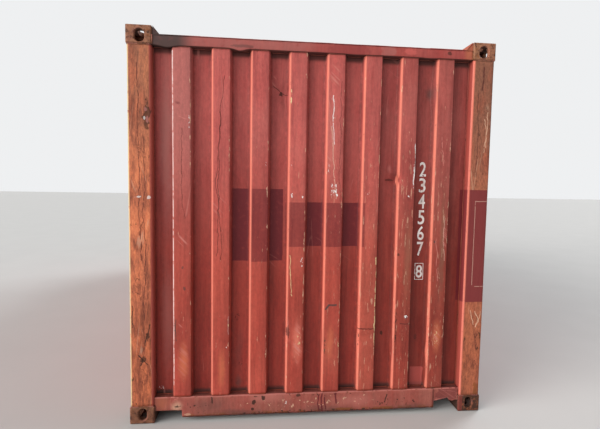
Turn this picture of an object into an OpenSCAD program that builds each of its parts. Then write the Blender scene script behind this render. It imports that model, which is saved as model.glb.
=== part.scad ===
// Closed steel freight container, 20 ft long, standing on its corner castings.
// X runs across, Y along (the plain closed end at -Y, the doors at +Y), Z up.
// The origin lies on the ground under the middle of the box.

/* [Overall] */
// Length over the corner castings
length = 6058; // [4200:1:12192]
// Width over the corner castings
width = 2438; // [2300:1:2600]
// Height over the corner castings
height = 2591; // [2400:1:2900]
// How far the frame's outer faces stand inside the faces of the castings
reveal = 5; // [2:0.5:8]
// Height of the underframe's lowest edge above the ground
ground_gap = 12; // [8:1:20]

/* [Corner castings] */
// Length of a casting, along the container
casting_l = 178; // [170:1:190]
// Width of a casting, across the container
casting_w = 162; // [158:1:170]
// Height of a casting
casting_h = 118; // [115:1:130]
// Radius of a casting's outer edges
casting_round = 12; // [4:1:14]
// Thickness of a casting's plate with the lock slot
slot_plate_t = 28; // [24:1:32]
// Thickness of a casting's outer end and side walls
casting_wall = 22; // [18:1:26]
// Thickness of a casting's inner walls
casting_back = 12; // [8:1:16]
// Length of the lock slot
slot_l = 124; // [110:1:126]
// Width of the lock slot
slot_w = 63.5; // [58:0.5:66]
// Distance of the lock slot's centre from the casting's end face
slot_end_inset = 102.5; // [96:0.5:104]
// Distance of the lock slot's centre from the casting's side face
slot_side_inset = 89.5; // [84:0.5:92]
// Height of the lashing eye in a casting's end face
eye_h = 79; // [70:1:82]
// Width of the lashing eye in a top casting's end face
top_eye_w = 64; // [48:1:66]
// Width of the lashing eye in a bottom casting's end face
bottom_eye_w = 51; // [44:1:66]
// Distance of the end eye's centre from the casting's side face
eye_inset = 85; // [78:1:90]
// Distance of the end eye's centre from the slotted face
eye_level = 66; // [64:0.5:68]
// Length of the lashing eye in a casting's side face
side_eye_l = 79.5; // [66:0.5:82]
// Height of the lashing eye in a casting's side face
side_eye_h = 63; // [56:1:66]
// Distance of the side eye's flat edge from the slotted face
side_eye_level = 34; // [30:1:38]
// Width of the bevel round the lashing eyes
eye_bevel = 5; // [2:0.5:8]

/* [Posts and rails] */
// Thickness of the pressed corner posts
post_t = 6; // [4:0.5:8]
// Outer radius of the bends in pressed sections
bend_r = 12; // [8.5:0.5:16]
// Width of a front post's face
post_face_w = 152; // [130:1:154]
// Depth of a post's outer side
post_side_l = 165; // [150:1:170]
// Width and height of the box rails along the top
top_rail_w = 60; // [50:1:80]
// Wall of the box rails along the top
top_rail_t = 3; // [2.5:0.5:5]
// Depth of the top rails and the front header behind the posts' faces
top_rail_set = 1; // [0:0.5:3]
// Height of the channels along the bottom
bottom_rail_h = 158; // [150:1:162]
// Thickness of the channels along the bottom
bottom_rail_t = 4.5; // [3:0.5:6]
// Width of a bottom channel's upper flange
rail_top_flange = 48; // [44:1:60]
// Width of a bottom channel's lower flange
rail_foot_flange = 30; // [24:1:40]

/* [Walls] */
// Thickness of the front wall's sheet
front_t = 2; // [1.5:0.1:3]
// Pitch of the front wall's ridges
front_pitch = 251; // [240:1:270]
// Width of a front ridge's outer face
front_face = 112; // [100:1:120]
// Width of a front ridge's slope, seen from the front
front_slope = 18; // [14:1:24]
// Depth of the front ridges
front_depth = 46; // [36:1:48]
// Depth of the ridges' faces behind the castings' end faces
front_set = 18; // [14:1:24]
// Thickness of the side walls' sheet
side_t = 1.6; // [1.2:0.1:3]
// Pitch of the side walls' ridges
side_pitch = 278; // [270:1:300]
// Width of a side ridge's outer face
side_face = 72; // [66:1:80]
// Width of a side ridge's slope
side_slope = 68; // [60:1:72]
// Depth of the side ridges
side_depth = 36; // [30:1:38]
// Depth of the side ridges' faces behind the castings' side faces
side_set = 7; // [6:0.5:10]
// Least flat left between the last ridge and a post
end_flat = 40; // [30:1:60]
// Bend radius of the pressed sheets
sheet_r = 9; // [6:0.5:12]
// Overlap of the front wall on the posts' inner returns
front_lap = 9; // [6:0.5:12]
// Reach of the side walls past the front edges of the posts' lips
side_lap = 3; // [1:0.5:5]

/* [Roof] */
// Thickness of the roof sheet
roof_t = 2; // [1.5:0.1:3]
// Pitch of the roof's ribs
roof_pitch = 209; // [195:1:230]
// Width of a roof rib's top
roof_face = 91; // [80:1:95]
// Width of a roof rib's slope
roof_slope = 13.5; // [10:0.5:20]
// Height of a roof rib
roof_depth = 20; // [14:1:24]
// Flat margin between the ribs' ends and the roof's long edges
roof_margin = 95; // [80:1:120]
// Length of the slope at each end of a roof rib
roof_run = 45; // [30:1:60]
// Flat length of roof at each end of the container, before the first rib
roof_end = 230; // [200:1:260]
// Depth of the roof's edges behind the posts' faces
roof_set = 2; // [1:0.5:6]
// Thickness of the plates that guard the roof's corners
guard_t = 3; // [2.5:0.5:4]
// Reach of a roof corner plate across the roof
guard_w = 300; // [240:1:320]
// Reach of a roof corner plate along the roof
guard_l = 205; // [190:1:225]
// Width of the corner plate's slope beside the casting
guard_run = 42; // [35:1:50]
// Drop of the corner plate's upper edge below the casting's top
guard_drop = 4; // [3:1:8]

/* [Front header and sill] */
// Height of the front sill above its lower edge
sill_h = 142; // [138:1:148]
// Height of the front sill's lower edge above the ground
sill_level = 31; // [28:1:36]
// Thickness of the front sill
sill_t = 4; // [3:0.5:6]
// Depth of the front sill's face behind the castings' end faces
sill_set = 14; // [12:0.5:16]
// Depth of the front sill's upper flange
sill_ledge = 56; // [53:1:70]
// Width of the clearance notch beside each casting
notch_w = 176; // [150:1:220]
// Height of the notch above the sill's lower edge
notch_h = 48; // [40:1:60]
// Radius of the notch's inner corner
notch_r = 10; // [6:1:16]
// Thickness of the doubling plate on the front sill
sill_plate_t = 6; // [4:0.5:7]
// Reach of the doubling plate over the left notch
sill_plate_over = 66; // [50:1:80]

/* [Underframe and floor] */
// Height of a cross member
member_h = 122; // [118:1:124]
// Width of a cross member's flanges
member_w = 45; // [40:1:50]
// Thickness of a cross member
member_t = 4; // [3:0.5:5]
// Greatest spacing of the cross members
member_pitch = 330; // [280:1:400]
// Thickness of the floor
floor_t = 28; // [24:1:30]
// Gap between the floor and the rails, posts and front wall
floor_gap = 1; // [0.5:0.5:4]
// Gap between the floor and the doors
floor_end_gap = 8; // [4:1:12]
// Distance between the middles of the two fork pockets
pocket_pitch = 2050; // [1800:1:2200]
// Clear width of a fork pocket
pocket_w = 352; // [340:1:360]
// Clear height of a fork pocket
pocket_h = 115; // [112:1:116]
// Thickness of a fork pocket's cover
pocket_cover_t = 3; // [2:0.5:3.5]
// Width of the straps under the ends of a fork pocket
strap_w = 200; // [150:1:250]
// Thickness of the straps under a fork pocket
strap_t = 6; // [4:0.5:7]

/* [Door end] */
// Depth of the doors' outer faces behind the castings' end faces
door_set = 50; // [46:1:60]
// Thickness of a door leaf's frame
leaf_t = 50; // [46:1:60]
// Width of a door leaf's upright frame members
stile_w = 100; // [80:1:120]
// Height of a door leaf's upper and lower frame members
cross_h = 150; // [100:1:160]
// Wall of a door leaf's frame members
leaf_wall = 4; // [3:0.5:6]
// Gap between a door leaf and the frame round it
leaf_gap = 4; // [3:0.5:6]
// Gap between the two door leaves
leaf_split = 10; // [8:1:14]
// Width of the rear post's inner channel, across the container
jamb_w = 40; // [36:1:42]
// Depth of the rear post's inner channel
jamb_l = 113; // [108:1:116]
// Thickness of the rear post's inner channel
jamb_t = 12; // [8:0.5:14]
// Width of the rear post's outer lip that guards the hinges
lip_w = 28; // [24:1:30]
// Depth of the rear post's lip behind the other posts' faces
lip_set = 4; // [2:0.5:8]
// Height of the door header's lower edge below the castings' tops
header_drop = 136; // [130:1:150]
// Depth of the door header and the door sill
beam_l = 80; // [70:1:90]
// Thickness of the door header and the door sill
beam_t = 4; // [3:0.5:6]
// Height of the door sill's top above the ground
door_sill_top = 166; // [160:1:170]
// Height of the door sill's lower edge above the ground
door_sill_foot = 20; // [16:1:30]
// Reach of the door gasket's lip over the gap round a leaf
seal_lip = 3; // [1:0.5:4]
// Depth of the door gasket
seal_l = 22; // [16:1:30]
// Depth of the door panels' ridges behind the leaves' faces
panel_set = 3; // [2:0.5:5]
// Depth of the door panels' ridges
panel_depth = 35; // [28:1:40]
// Width of a door panel's ridge
panel_face = 92; // [84:1:100]
// Width of a door panel's slope
panel_slope = 68; // [50:1:76]
// Overlap of the door panel on the leaf's frame
panel_lap = 2; // [1:0.5:4]

/* [Door gear] */
// Outer diameter of a lock bar
bar_d = 34; // [30:0.5:36]
// Wall of a lock bar's tube
bar_t = 2.6; // [2:0.1:4]
// Distance of the lock bars' middles in front of the doors' faces
bar_reach = 21; // [20.5:0.5:24]
// Distance of the outer lock bar from the leaf's hinged edge
bar_outer = 300; // [260:1:340]
// Distance of the inner lock bar from the leaf's free edge
bar_inner = 270; // [240:1:320]
// Running clearance of lock bars and hinge pins
fit_gap = 0.3; // [0.2:0.05:0.5]
// Thickness of a guide bracket's saddle and foot
guide_t = 5; // [4:0.5:6]
// Height of a guide bracket
guide_h = 50; // [40:1:70]
// Half width of a guide bracket's foot
guide_foot = 44; // [34:1:46]
// Distance of the outermost guide brackets from the leaf's ends
guide_inset = 60; // [40:1:75]
// Place of the lower middle guide brackets, as a part of the leaf's height
guide_low = 0.3; // [0.2:0.01:0.36]
// Place of the upper middle guide brackets, as a part of the leaf's height
guide_high = 0.72; // [0.64:0.01:0.8]
// Height of a keeper and of the space for its cam
keeper_h = 56; // [50:1:64]
// Distance of the keepers' middles beyond the door leaf's edges
keeper_reach = 42; // [38:1:50]
// Half width of a keeper over its prongs
keeper_half = 50; // [46:1:56]
// Thickness of a keeper's prongs
keeper_t = 10; // [8:0.5:11]
// Thickness of a keeper's feet
keeper_foot_t = 9; // [6:0.5:10]
// Reach of a keeper's lips towards the lock bar
keeper_lip = 11; // [8:0.5:12]
// Clearance between a cam and its keeper
cam_gap = 1.5; // [1:0.25:2]
// Free height above and below a cam in its keeper
cam_slack = 8; // [4:0.5:12]
// Thickness of a cam's hub round the lock bar
cam_wall = 2; // [1:0.5:3]
// Height of the outer bars' handles above the ground
handle_level = 1080; // [900:1:1300]
// How much higher the inner bars' handles sit
handle_step = 170; // [140:1:240]
// Length of a handle from its lock bar
handle_l = 430; // [380:1:460]
// Height of a handle's grip
handle_w = 38; // [30:1:44]
// Thickness of a handle
handle_t = 12; // [8:1:14]
// Height of a handle at its hub
handle_root = 52; // [44:1:60]
// Length of a handle's tapered neck
neck_l = 70; // [50:1:90]
// Height of a handle's hub
handle_hub_h = 60; // [54:1:70]
// Thickness of a handle's hub round the lock bar
handle_hub_t = 6; // [4:0.5:8]
// Width of a handle catch
catch_w = 44; // [36:1:60]
// Thickness of a handle catch
catch_t = 6; // [4:0.5:8]
// Clearance between a handle and its catch
catch_gap = 1; // [0.5:0.25:2]
// Height of a catch's front lip
catch_lip = 23; // [16:1:30]
// Rim of a catch's plate above and below the catch
catch_rim = 6; // [4:0.5:10]
// Hinges on each leaf
hinges = 4; // [3:1:5]
// Distance of the first and last hinge from the leaf's ends
hinge_inset = 200; // [160:1:300]
// Height of a hinge blade
blade_h = 65; // [50:1:80]
// Length of a hinge blade over the leaf
blade_l = 170; // [140:1:220]
// Distance of a hinge blade's bend from the leaf's edge
blade_bend = 20; // [14:1:30]
// Thickness of a hinge blade
blade_t = 10; // [8:1:12]
// Diameter of a hinge pin
pin_d = 16; // [14:0.5:18]
// Thickness of metal round a hinge pin
knuckle_t = 6; // [5:0.5:7]
// Distance of the hinge pins in front of the doors' faces
hinge_reach = 23; // [20:0.5:26]
// Gap between a hinge knuckle and the post's lip
knuckle_gap = 1; // [0.5:0.25:2]
// Reach of a hinge pin past its lugs
pin_reach = 4; // [2:0.5:6]
// Thickness of a hinge lug on the post
lug_t = 14; // [10:1:18]

/* [Ventilators] */
// Gap between a ventilator hood and the slopes beside it
vent_gap = 2; // [1:0.5:6]
// Height of a ventilator hood
vent_h = 90; // [70:1:120]
// Depth of a ventilator hood
vent_l = 32; // [26:1:33]
// Depth of a ventilator hood's top
vent_top_l = 11; // [8:1:16]
// Height of a ventilator hood's face
vent_face_h = 63; // [50:1:68]
// Wall of a ventilator hood
vent_t = 3; // [2:0.5:4]
// Distance of a ventilator's middle below the top rail
vent_drop = 130; // [110:1:200]
// Slots in a ventilator's underside
vent_slots = 4; // [2:1:6]
// Width of a slot in a ventilator's underside
vent_slot_w = 8; // [5:0.5:8]
// Which flat a ventilator sits on, counted from the wall's end
vent_place = 2; // [1:1:4]

/* [Hidden] */
$fn = 48;

// Half sizes, used everywhere
half_l = length / 2;
half_w = width / 2;
rail_foot = ground_gap;
rail_top = rail_foot + bottom_rail_h;
top_rail_z = height - casting_h;
top_rail_top = top_rail_z + top_rail_w;
post_inner = reveal + post_face_w;
post_end = reveal + post_side_l;
front_recess = front_set + front_depth;
side_recess = side_set + side_depth;
sill_top = sill_level + sill_h;
floor_under = rail_foot + bottom_rail_t + member_h;
floor_top = floor_under + floor_t;
header_foot = height - header_drop;
leaf_foot = door_sill_top + leaf_gap;
leaf_top = header_foot - leaf_gap;
jamb_inner = reveal + bottom_rail_t + jamb_w;
leaf_edge = jamb_inner + leaf_gap;
leaf_w = half_w - leaf_edge - leaf_split / 2;
bar_axis = door_set - bar_reach;
knuckle_r = pin_d / 2 + knuckle_t;
hinge_axis_u = reveal + lip_w + knuckle_r + knuckle_gap;
hinge_axis_v = door_set - hinge_reach;

// The panel has a ridge under each lock bar and one between them
panel_ridges = 3;
panel_pitch = (leaf_w - bar_outer - bar_inner) / (panel_ridges - 1);
panel_mid = -half_w + leaf_edge + (leaf_w + bar_outer - bar_inner) / 2;

hub_r = bar_d / 2 + cam_wall;
keeper_front = bar_reach + bar_d / 2 - keeper_t / 2;
keeper_low = leaf_foot - keeper_reach;
keeper_high = leaf_top + keeper_reach;
bar_y = half_l - bar_axis;
wall_end = max(post_end - post_t - side_lap, door_set + jamb_l) + fit_gap;
sill_run = half_w - casting_w - notch_w;
roof_base = 3 * roof_t;

// Short steps in a bend, and how far a cut reaches past the metal
bend_steps = 4;
sheet_steps = 2;
over = 1;
steel = "#a4584c";
dark_steel = "#7c4038";
casting_brown = "#826046";
rust_brown = "#9a6044";
wood_brown = "#8a6a48";
rubber_black = "#2b2826";

function unit(v) = v / norm(v);
function normal(a, b) = let (d = unit(b - a)) [-d[1], d[0]];
function flipped(list) = [for (i = [len(list) - 1:-1:0]) list[i]];

// A path moved sideways by d, with its corners mitred
function moved(path, d) = let (last = len(path) - 1) [
    for (i = [0:last]) let (
        before = normal(path[max(i - 1, 0)], path[max(i, 1)]),
        after = normal(path[min(i, last - 1)], path[min(i + 1, last)]),
        m = unit(before + after)
    ) path[i] + m * d / (m * before)
];

// The outline of a sheet of thickness t whose middle follows the path
function sheet(path, t) = concat(moved(path, t / 2), flipped(moved(path, -t / 2)));

// A path with each inner corner rounded to radius r in a few short steps
function rounded(path, r, steps) = [
    for (i = [0:len(path) - 1])
        each (i == 0 || i == len(path) - 1) ? [path[i]] : let (
            p = path[i],
            a = unit(path[i - 1] - p),
            b = unit(path[i + 1] - p),
            half = acos(a * b) / 2,
            c = p + unit(a + b) * r / sin(half),
            first = p + a * r / tan(half),
            final = p + b * r / tan(half),
            start = atan2(first[1] - c[1], first[0] - c[0]),
            stop = atan2(final[1] - c[1], final[0] - c[0]),
            turn = (stop - start + 540) % 360 - 180
        ) [for (k = [0:steps]) c + r * [cos(start + turn * k / steps), sin(start + turn * k / steps)]]
];

// A row of trapezoid ridges along the first coordinate, centred on zero
function ridges(count, pitch, face, slope, outer, inner) = [
    for (i = [0:count - 1]) let (mid = (i - (count - 1) / 2) * pitch)
        each [
            [mid - face / 2 - slope, inner],
            [mid - face / 2, outer],
            [mid + face / 2, outer],
            [mid + face / 2 + slope, inner]
        ]
];
function ridge_count(room, pitch, face, slope, margin) =
    1 + floor((room - face - 2 * slope - 2 * margin) / pitch);

side_count = ridge_count(length - 2 * post_end, side_pitch, side_face, side_slope, end_flat);

// Extrudes a profile drawn in Y and Z across the container, from x0 to x1
module across(x0, x1) {
    translate([x0, 0, 0]) rotate([90, 0, 90]) linear_extrude(x1 - x0) children();
}

// Extrudes a profile drawn in X and Z along the container, from y0 to y1
module along(y0, y1) {
    translate([0, y1, 0]) rotate([90, 0, 0]) linear_extrude(y1 - y0) children();
}

module block(x0, x1, y0, y1, z0, z1) {
    translate([x0, y0, z0]) cube([x1 - x0, y1 - y0, z1 - z0]);
}

module flip(on, axis) {
    if (on) mirror(axis) children();
    else children();
}

// A part and its mirror image on the other side of the middle
module both_sides() {
    for (left = [false, true]) flip(left, [1, 0, 0]) children();
}

// A plane figure and its mirror image
module both_halves() {
    for (left = [false, true]) flip(left, [1, 0]) children();
}

// Places something drawn at the left front bottom corner, with X inwards from the
// side face and Y inwards from the end face, at any corner of the container
module at_corner(right, rear, top) {
    translate([0, 0, top ? height : 0])
        flip(right, [1, 0, 0])
            flip(rear, [0, 1, 0])
                flip(top, [0, 0, 1])
                    translate([-half_w, -half_l, 0]) children();
}

module round_rect(w, h, r) {
    translate([r, 0]) square([w - 2 * r, h]);
    translate([0, r]) square([w, h - 2 * r]);
    for (x = [r, w - r], y = [r, h - r]) translate([x, y]) circle(r);
}

module stadium(w, h) {
    r = w / 2;
    for (s = [-1, 1]) translate([0, s * (h / 2 - r)]) circle(r);
    square([w, h - w], center = true);
}

// A lashing eye cut upwards from its outer face at zero, with a bevelled rim
module eye_cut(w, h, depth) {
    translate([0, 0, -over]) linear_extrude(depth + 2 * over) stadium(w, h);
    for (s = [-1, 1])
        translate([0, s * (h - w) / 2, -over])
            cylinder(eye_bevel + over, w / 2 + eye_bevel + over, w / 2);
    if (h > w)
        translate([0, (h - w) / 2, 0]) rotate([90, 0, 0]) linear_extrude(h - w)
            polygon([
                [-w / 2 - eye_bevel - over, -over],
                [w / 2 + eye_bevel + over, -over],
                [w / 2, eye_bevel],
                [-w / 2, eye_bevel]
            ]);
}

module casting(eye_w) {
    color(casting_brown) difference() {
        intersection() {
            linear_extrude(casting_h) round_rect(casting_w, casting_l, casting_round);
            rotate([90, 0, 90]) linear_extrude(casting_w)
                round_rect(casting_l, casting_h, casting_round);
            translate([0, casting_l, 0]) rotate([90, 0, 0]) linear_extrude(casting_l)
                round_rect(casting_w, casting_h, casting_round);
        }
        block(casting_wall, casting_w - casting_back, casting_wall, casting_l - casting_back,
            slot_plate_t, casting_h - casting_back);
        translate([slot_side_inset, slot_end_inset, -over])
            linear_extrude(slot_plate_t + 2 * over) stadium(slot_w, slot_l);
        translate([eye_inset, 0, eye_level]) rotate([-90, 0, 0])
            eye_cut(eye_w, eye_h, casting_wall);
        translate([-over, casting_l / 2, side_eye_level]) rotate([90, 0, 90])
            linear_extrude(casting_wall + 2 * over) union() {
                translate([0, side_eye_h - side_eye_l / 2]) circle(side_eye_l / 2);
                translate([-side_eye_l / 2, 0]) square([side_eye_l, side_eye_h - side_eye_l / 2]);
            }
    }
}

module casting_at(right, rear, top) {
    at_corner(right, rear, top) casting(top ? top_eye_w : bottom_eye_w);
}

// Pressed front post: side lip, outer side, face and inner return
module front_post(right) {
    h = post_t / 2;
    path = [
        [side_recess, post_end - h],
        [reveal + h, post_end - h],
        [reveal + h, reveal + h],
        [post_inner - h, reveal + h],
        [post_inner - h, front_recess]
    ];
    color(rust_brown) at_corner(right, false, false)
        translate([0, 0, casting_h]) linear_extrude(height - 2 * casting_h)
            polygon(sheet(rounded(path, bend_r - h, bend_steps), post_t));
}

// Rear post: pressed outer section with a lip that guards the hinges, and an inner channel
module rear_post(right) {
    h = post_t / 2;
    path = [
        [side_recess, post_end - h],
        [reveal + h, post_end - h],
        [reveal + h, reveal + lip_set + h],
        [reveal + lip_w - h, reveal + lip_set + h],
        [reveal + lip_w - h, door_set + over]
    ];
    jamb_outer = jamb_inner - jamb_w;
    color(steel) at_corner(right, true, false) union() {
        translate([0, 0, casting_h]) linear_extrude(height - 2 * casting_h)
            polygon(sheet(rounded(path, bend_r - h, bend_steps), post_t));
        difference() {
            block(jamb_outer, jamb_inner, door_set, door_set + jamb_l, casting_h, top_rail_z);
            block(jamb_outer - over, jamb_inner - jamb_t, door_set + jamb_t,
                door_set + jamb_l - jamb_t, casting_h - over, top_rail_z + over);
        }
    }
}

// A box rail's section, its corners rounded on both sides of the wall
module box_section(w, h, t) {
    difference() {
        round_rect(w, h, 2 * t);
        translate([t, t]) round_rect(w - 2 * t, h - 2 * t, t);
    }
}

module front_header() {
    x = half_w - casting_w;
    color(steel) across(-x, x)
        translate([-half_l + reveal + top_rail_set, top_rail_z])
            box_section(top_rail_w, top_rail_w, top_rail_t);
}

module top_rail(right) {
    y = half_l - casting_l;
    color(steel) flip(right, [1, 0, 0]) along(-y, y)
        translate([-half_w + reveal + top_rail_set, top_rail_z])
            box_section(top_rail_w, top_rail_w, top_rail_t);
}

// What the right notch takes from the sill: a step up with a round inner corner
module notch() {
    top = sill_level + notch_h;
    translate([sill_run, sill_level - over]) square([half_w, notch_h + over - notch_r]);
    translate([sill_run + notch_r, top - notch_r - over]) square([half_w, notch_r + over]);
    translate([sill_run + notch_r, top - notch_r]) circle(notch_r);
}

// Pressed front sill: notched face, upper ledge that carries the wall, and lower flange
module front_sill() {
    y = -half_l + sill_set;
    x = half_w - casting_w;
    x_post = half_w - post_inner;
    ledge_end = y + sill_ledge;
    step = sill_level + notch_h;
    color(steel) union() {
        along(y, y + sill_t) difference() {
            translate([-x_post, sill_level]) square([2 * x_post, sill_h]);
            both_halves() notch();
            both_halves() translate([x, -over]) square([casting_w, casting_h + over]);
        }
        block(-x_post, x_post, y, ledge_end, sill_top - sill_t, sill_top);
        block(-sill_run, sill_run, y, ledge_end, sill_level, sill_level + sill_t);
        both_sides() {
            block(sill_run, x, y, ledge_end, step, step + sill_t);
            block(sill_run - sill_t, sill_run, y, ledge_end, sill_level, step + sill_t);
        }
    }
}

// Doubling plate on the sill: its left end is round and reaches over the notch
module front_sill_plate() {
    r = (sill_h - notch_h) / 2;
    left = -sill_run - sill_plate_over + r;
    y = -half_l + sill_set;
    color(rust_brown) along(y - sill_plate_t, y) difference() {
        union() {
            translate([left, sill_level]) square([sill_run - left, sill_h]);
            translate([left, sill_top - r]) circle(r);
        }
        mirror([1, 0]) notch();
    }
}

module front_wall() {
    room = width - 2 * post_inner;
    count = ridge_count(room, front_pitch, front_face, front_slope, end_flat);
    end = half_w - post_inner + front_lap;
    mid = front_t / 2;
    path = concat(
        [[-end, front_recess + mid]],
        ridges(count, front_pitch, front_face, front_slope, front_set + mid, front_recess + mid),
        [[end, front_recess + mid]]
    );
    color(steel) translate([0, -half_l, sill_top]) linear_extrude(top_rail_z - sill_top)
        polygon(sheet(rounded(path, sheet_r, sheet_steps), front_t));
}

module side_wall(right) {
    end = half_l - wall_end;
    mid = side_t / 2;
    path = concat(
        [[-end, side_recess + mid]],
        ridges(side_count, side_pitch, side_face, side_slope, side_set + mid, side_recess + mid),
        [[end, side_recess + mid]]
    );
    color(steel) flip(right, [1, 0, 0]) translate([-half_w, 0, rail_top])
        mirror([1, 0, 0]) rotate([0, 0, 90]) linear_extrude(top_rail_z - rail_top)
            polygon(sheet(rounded(path, sheet_r, sheet_steps), side_t));
}

// The roof's upper skin as a solid: ribs across, each sloping down at both ends
module roof_form(lift) {
    x = half_w - reveal - roof_set;
    y_front = -half_l + reveal + roof_set;
    y_rear = half_l - door_set - roof_set;
    room = y_rear - y_front;
    mid = (y_rear + y_front) / 2;
    count = ridge_count(room, roof_pitch, roof_face, roof_slope, roof_end);
    z = top_rail_top + lift;
    rib_x = half_w - roof_margin;
    union() {
        block(-x, x, y_front, y_rear, z - roof_base, z);
        intersection() {
            across(-x, x) translate([mid, z]) polygon(concat(
                [[-room / 2 + over, -roof_t]],
                [[-room / 2 + over, 0]],
                ridges(count, roof_pitch, roof_face, roof_slope, roof_depth, 0),
                [[room / 2 - over, 0]],
                [[room / 2 - over, -roof_t]]
            ));
            along(y_front, y_rear) translate([0, z]) polygon([
                [-rib_x, -roof_t],
                [-rib_x, 0],
                [-rib_x + roof_run, roof_depth],
                [rib_x - roof_run, roof_depth],
                [rib_x, 0],
                [rib_x, -roof_t]
            ]);
        }
    }
}

module roof() {
    x = half_w - casting_w;
    y = half_l - casting_l;
    color(dark_steel) difference() {
        roof_form(roof_t);
        roof_form(0);
        block(-width, width, -length, length, top_rail_top - roof_base - over, top_rail_top);
        for (rear = [false, true]) flip(rear, [0, 1, 0]) both_sides()
            block(x, width, y, length, top_rail_top - over, height);
    }
}

// Plates beside the top castings, sloping from the casting's edge down to the roof
module roof_corner_plate() {
    base = casting_h - top_rail_w - roof_t - guard_t;
    path = [
        [casting_w + guard_t, guard_drop],
        [casting_w + guard_t + guard_run, base + guard_t / 2],
        [casting_w + guard_w, base + guard_t / 2]
    ];
    translate([0, guard_l + reveal + top_rail_set, 0]) rotate([90, 0, 0]) linear_extrude(guard_l)
        polygon(sheet(path, guard_t));
}

module roof_corner_plates() {
    color(rust_brown) for (r = [false, true])
        at_corner(r, false, true) roof_corner_plate();
}

// Channel along the bottom, cut for the castings at its ends and for the fork pockets
module bottom_rail(right) {
    h = bottom_rail_t / 2;
    u = reveal + h;
    path = [
        [reveal + rail_foot_flange, rail_foot + h],
        [u, rail_foot + h],
        [u, rail_top - h],
        [reveal + rail_top_flange, rail_top - h]
    ];
    y = half_l - post_end;
    y_casting = half_l - casting_l;
    color(steel) flip(right, [1, 0, 0]) difference() {
        translate([-half_w, 0, 0]) along(-y, y)
            polygon(sheet(rounded(path, bend_r - h, bend_steps), bottom_rail_t));
        for (rear = [false, true]) flip(rear, [0, 1, 0]) {
            block(-width, 0, -length, -y_casting, -over, casting_h);
            translate([0, -pocket_pitch / 2, 0])
                block(-width, 0, -pocket_w / 2, pocket_w / 2, -over, floor_under);
        }
    }
}

// One pressed cross member, its web at y and its flanges towards +Y
module member(x, y, mirrored) {
    z0 = rail_foot + bottom_rail_t;
    translate([0, y, 0]) flip(mirrored, [0, 1, 0]) across(-x, x) difference() {
        translate([0, z0]) square([member_w, member_h]);
        translate([member_t, z0 + member_t])
            square([member_w, member_h - 2 * member_t]);
    }
}

// Positions of the plain cross members between two ends, evenly spaced
function spaced(y0, y1) = let (n = ceil((y1 - y0) / member_pitch))
    [for (i = [1:n - 1]) y0 + (y1 - y0) * i / n];

module cross_members() {
    x = half_w - reveal - bottom_rail_t;
    inner_front = -half_l + sill_set + sill_ledge;
    inner_rear = half_l - door_set - beam_l;
    pocket_in = pocket_pitch / 2 - pocket_w / 2 - member_t;
    pocket_out = pocket_pitch / 2 + pocket_w / 2 + member_t;
    cope = reveal + bend_r;
    color(dark_steel) difference() {
        union() {
            for (y = concat(spaced(inner_front, -pocket_out), spaced(-pocket_in, pocket_in),
                    spaced(pocket_out, inner_rear)))
                member(x, y - member_w / 2, false);
            for (s = [-1, 1]) {
                member(x, s * (pocket_out - member_t), s < 0);
                member(x, s * (pocket_in + member_t), s > 0);
            }
        }
        both_sides() block(half_w - cope, half_w, -half_l, half_l, 0, rail_foot + bend_r);
    }
}

// Cover over each fork pocket and a strap under each of its ends
module fork_pocket_plates() {
    x = half_w - reveal;
    z0 = floor_under - pocket_cover_t - pocket_h - strap_t;
    color(dark_steel) for (s = [-1, 1]) translate([0, s * pocket_pitch / 2, 0]) {
        block(-x, x, -pocket_w / 2, pocket_w / 2, floor_under - pocket_cover_t, floor_under);
        both_sides() block(x - strap_w, x, -pocket_w / 2, pocket_w / 2, z0, z0 + strap_t);
    }
}

module floor_deck() {
    x = half_w - reveal - rail_top_flange - floor_gap;
    y0 = -half_l + front_recess + front_t + floor_gap;
    y1 = half_l - door_set - leaf_t - floor_end_gap;
    color(wood_brown) difference() {
        block(-x, x, y0, y1, floor_under, floor_top);
        block(-width, width, -length, -half_l + sill_set + sill_ledge, 0, sill_top);
        block(-width, width, half_l - door_set - beam_l, length, 0, door_sill_top);
        both_sides() block(half_w - post_inner - floor_gap, width,
            -length, -half_l + post_end + floor_gap, 0, height);
    }
}

// Ventilator hood, widening outwards to fit between two ridges of the side wall,
// and open towards the ground through a row of slots
module ventilator() {
    back = side_pitch - side_face - 2 * side_slope - 2 * vent_gap;
    spread = vent_l * side_slope / side_depth;
    pitch = back / vent_slots;
    difference() {
        intersection() {
            linear_extrude(vent_h) polygon([
                [0, -back / 2],
                [0, back / 2],
                [-vent_l, back / 2 + spread],
                [-vent_l, -back / 2 - spread]
            ]);
            along(-vent_h - spread, vent_h + spread) polygon([
                [0, 0],
                [0, vent_h],
                [-vent_top_l, vent_h],
                [-vent_l, vent_face_h],
                [-vent_l, 0]
            ]);
        }
        along(-back / 2 + vent_t, back / 2 - vent_t) polygon([
            [over, vent_t],
            [over, vent_h - vent_t],
            [-vent_top_l, vent_h - vent_t],
            [-vent_l + vent_t, vent_face_h - vent_t],
            [-vent_l + vent_t, vent_t]
        ]);
        for (i = [1:vent_slots]) translate([0, (i - 0.5) * pitch - back / 2, 0])
            block(-vent_l + 2 * vent_t, -2 * vent_t, -vent_slot_w / 2, vent_slot_w / 2,
                -over, vent_t + over);
    }
}

// Each hood sits on a flat of the side wall, between two ridges
module ventilators() {
    y = (side_count / 2 - vent_place) * side_pitch;
    color(steel) both_sides() for (rear = [false, true]) flip(rear, [0, 1, 0])
        translate([-half_w + side_recess, y, top_rail_z - vent_drop]) ventilator();
}

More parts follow.
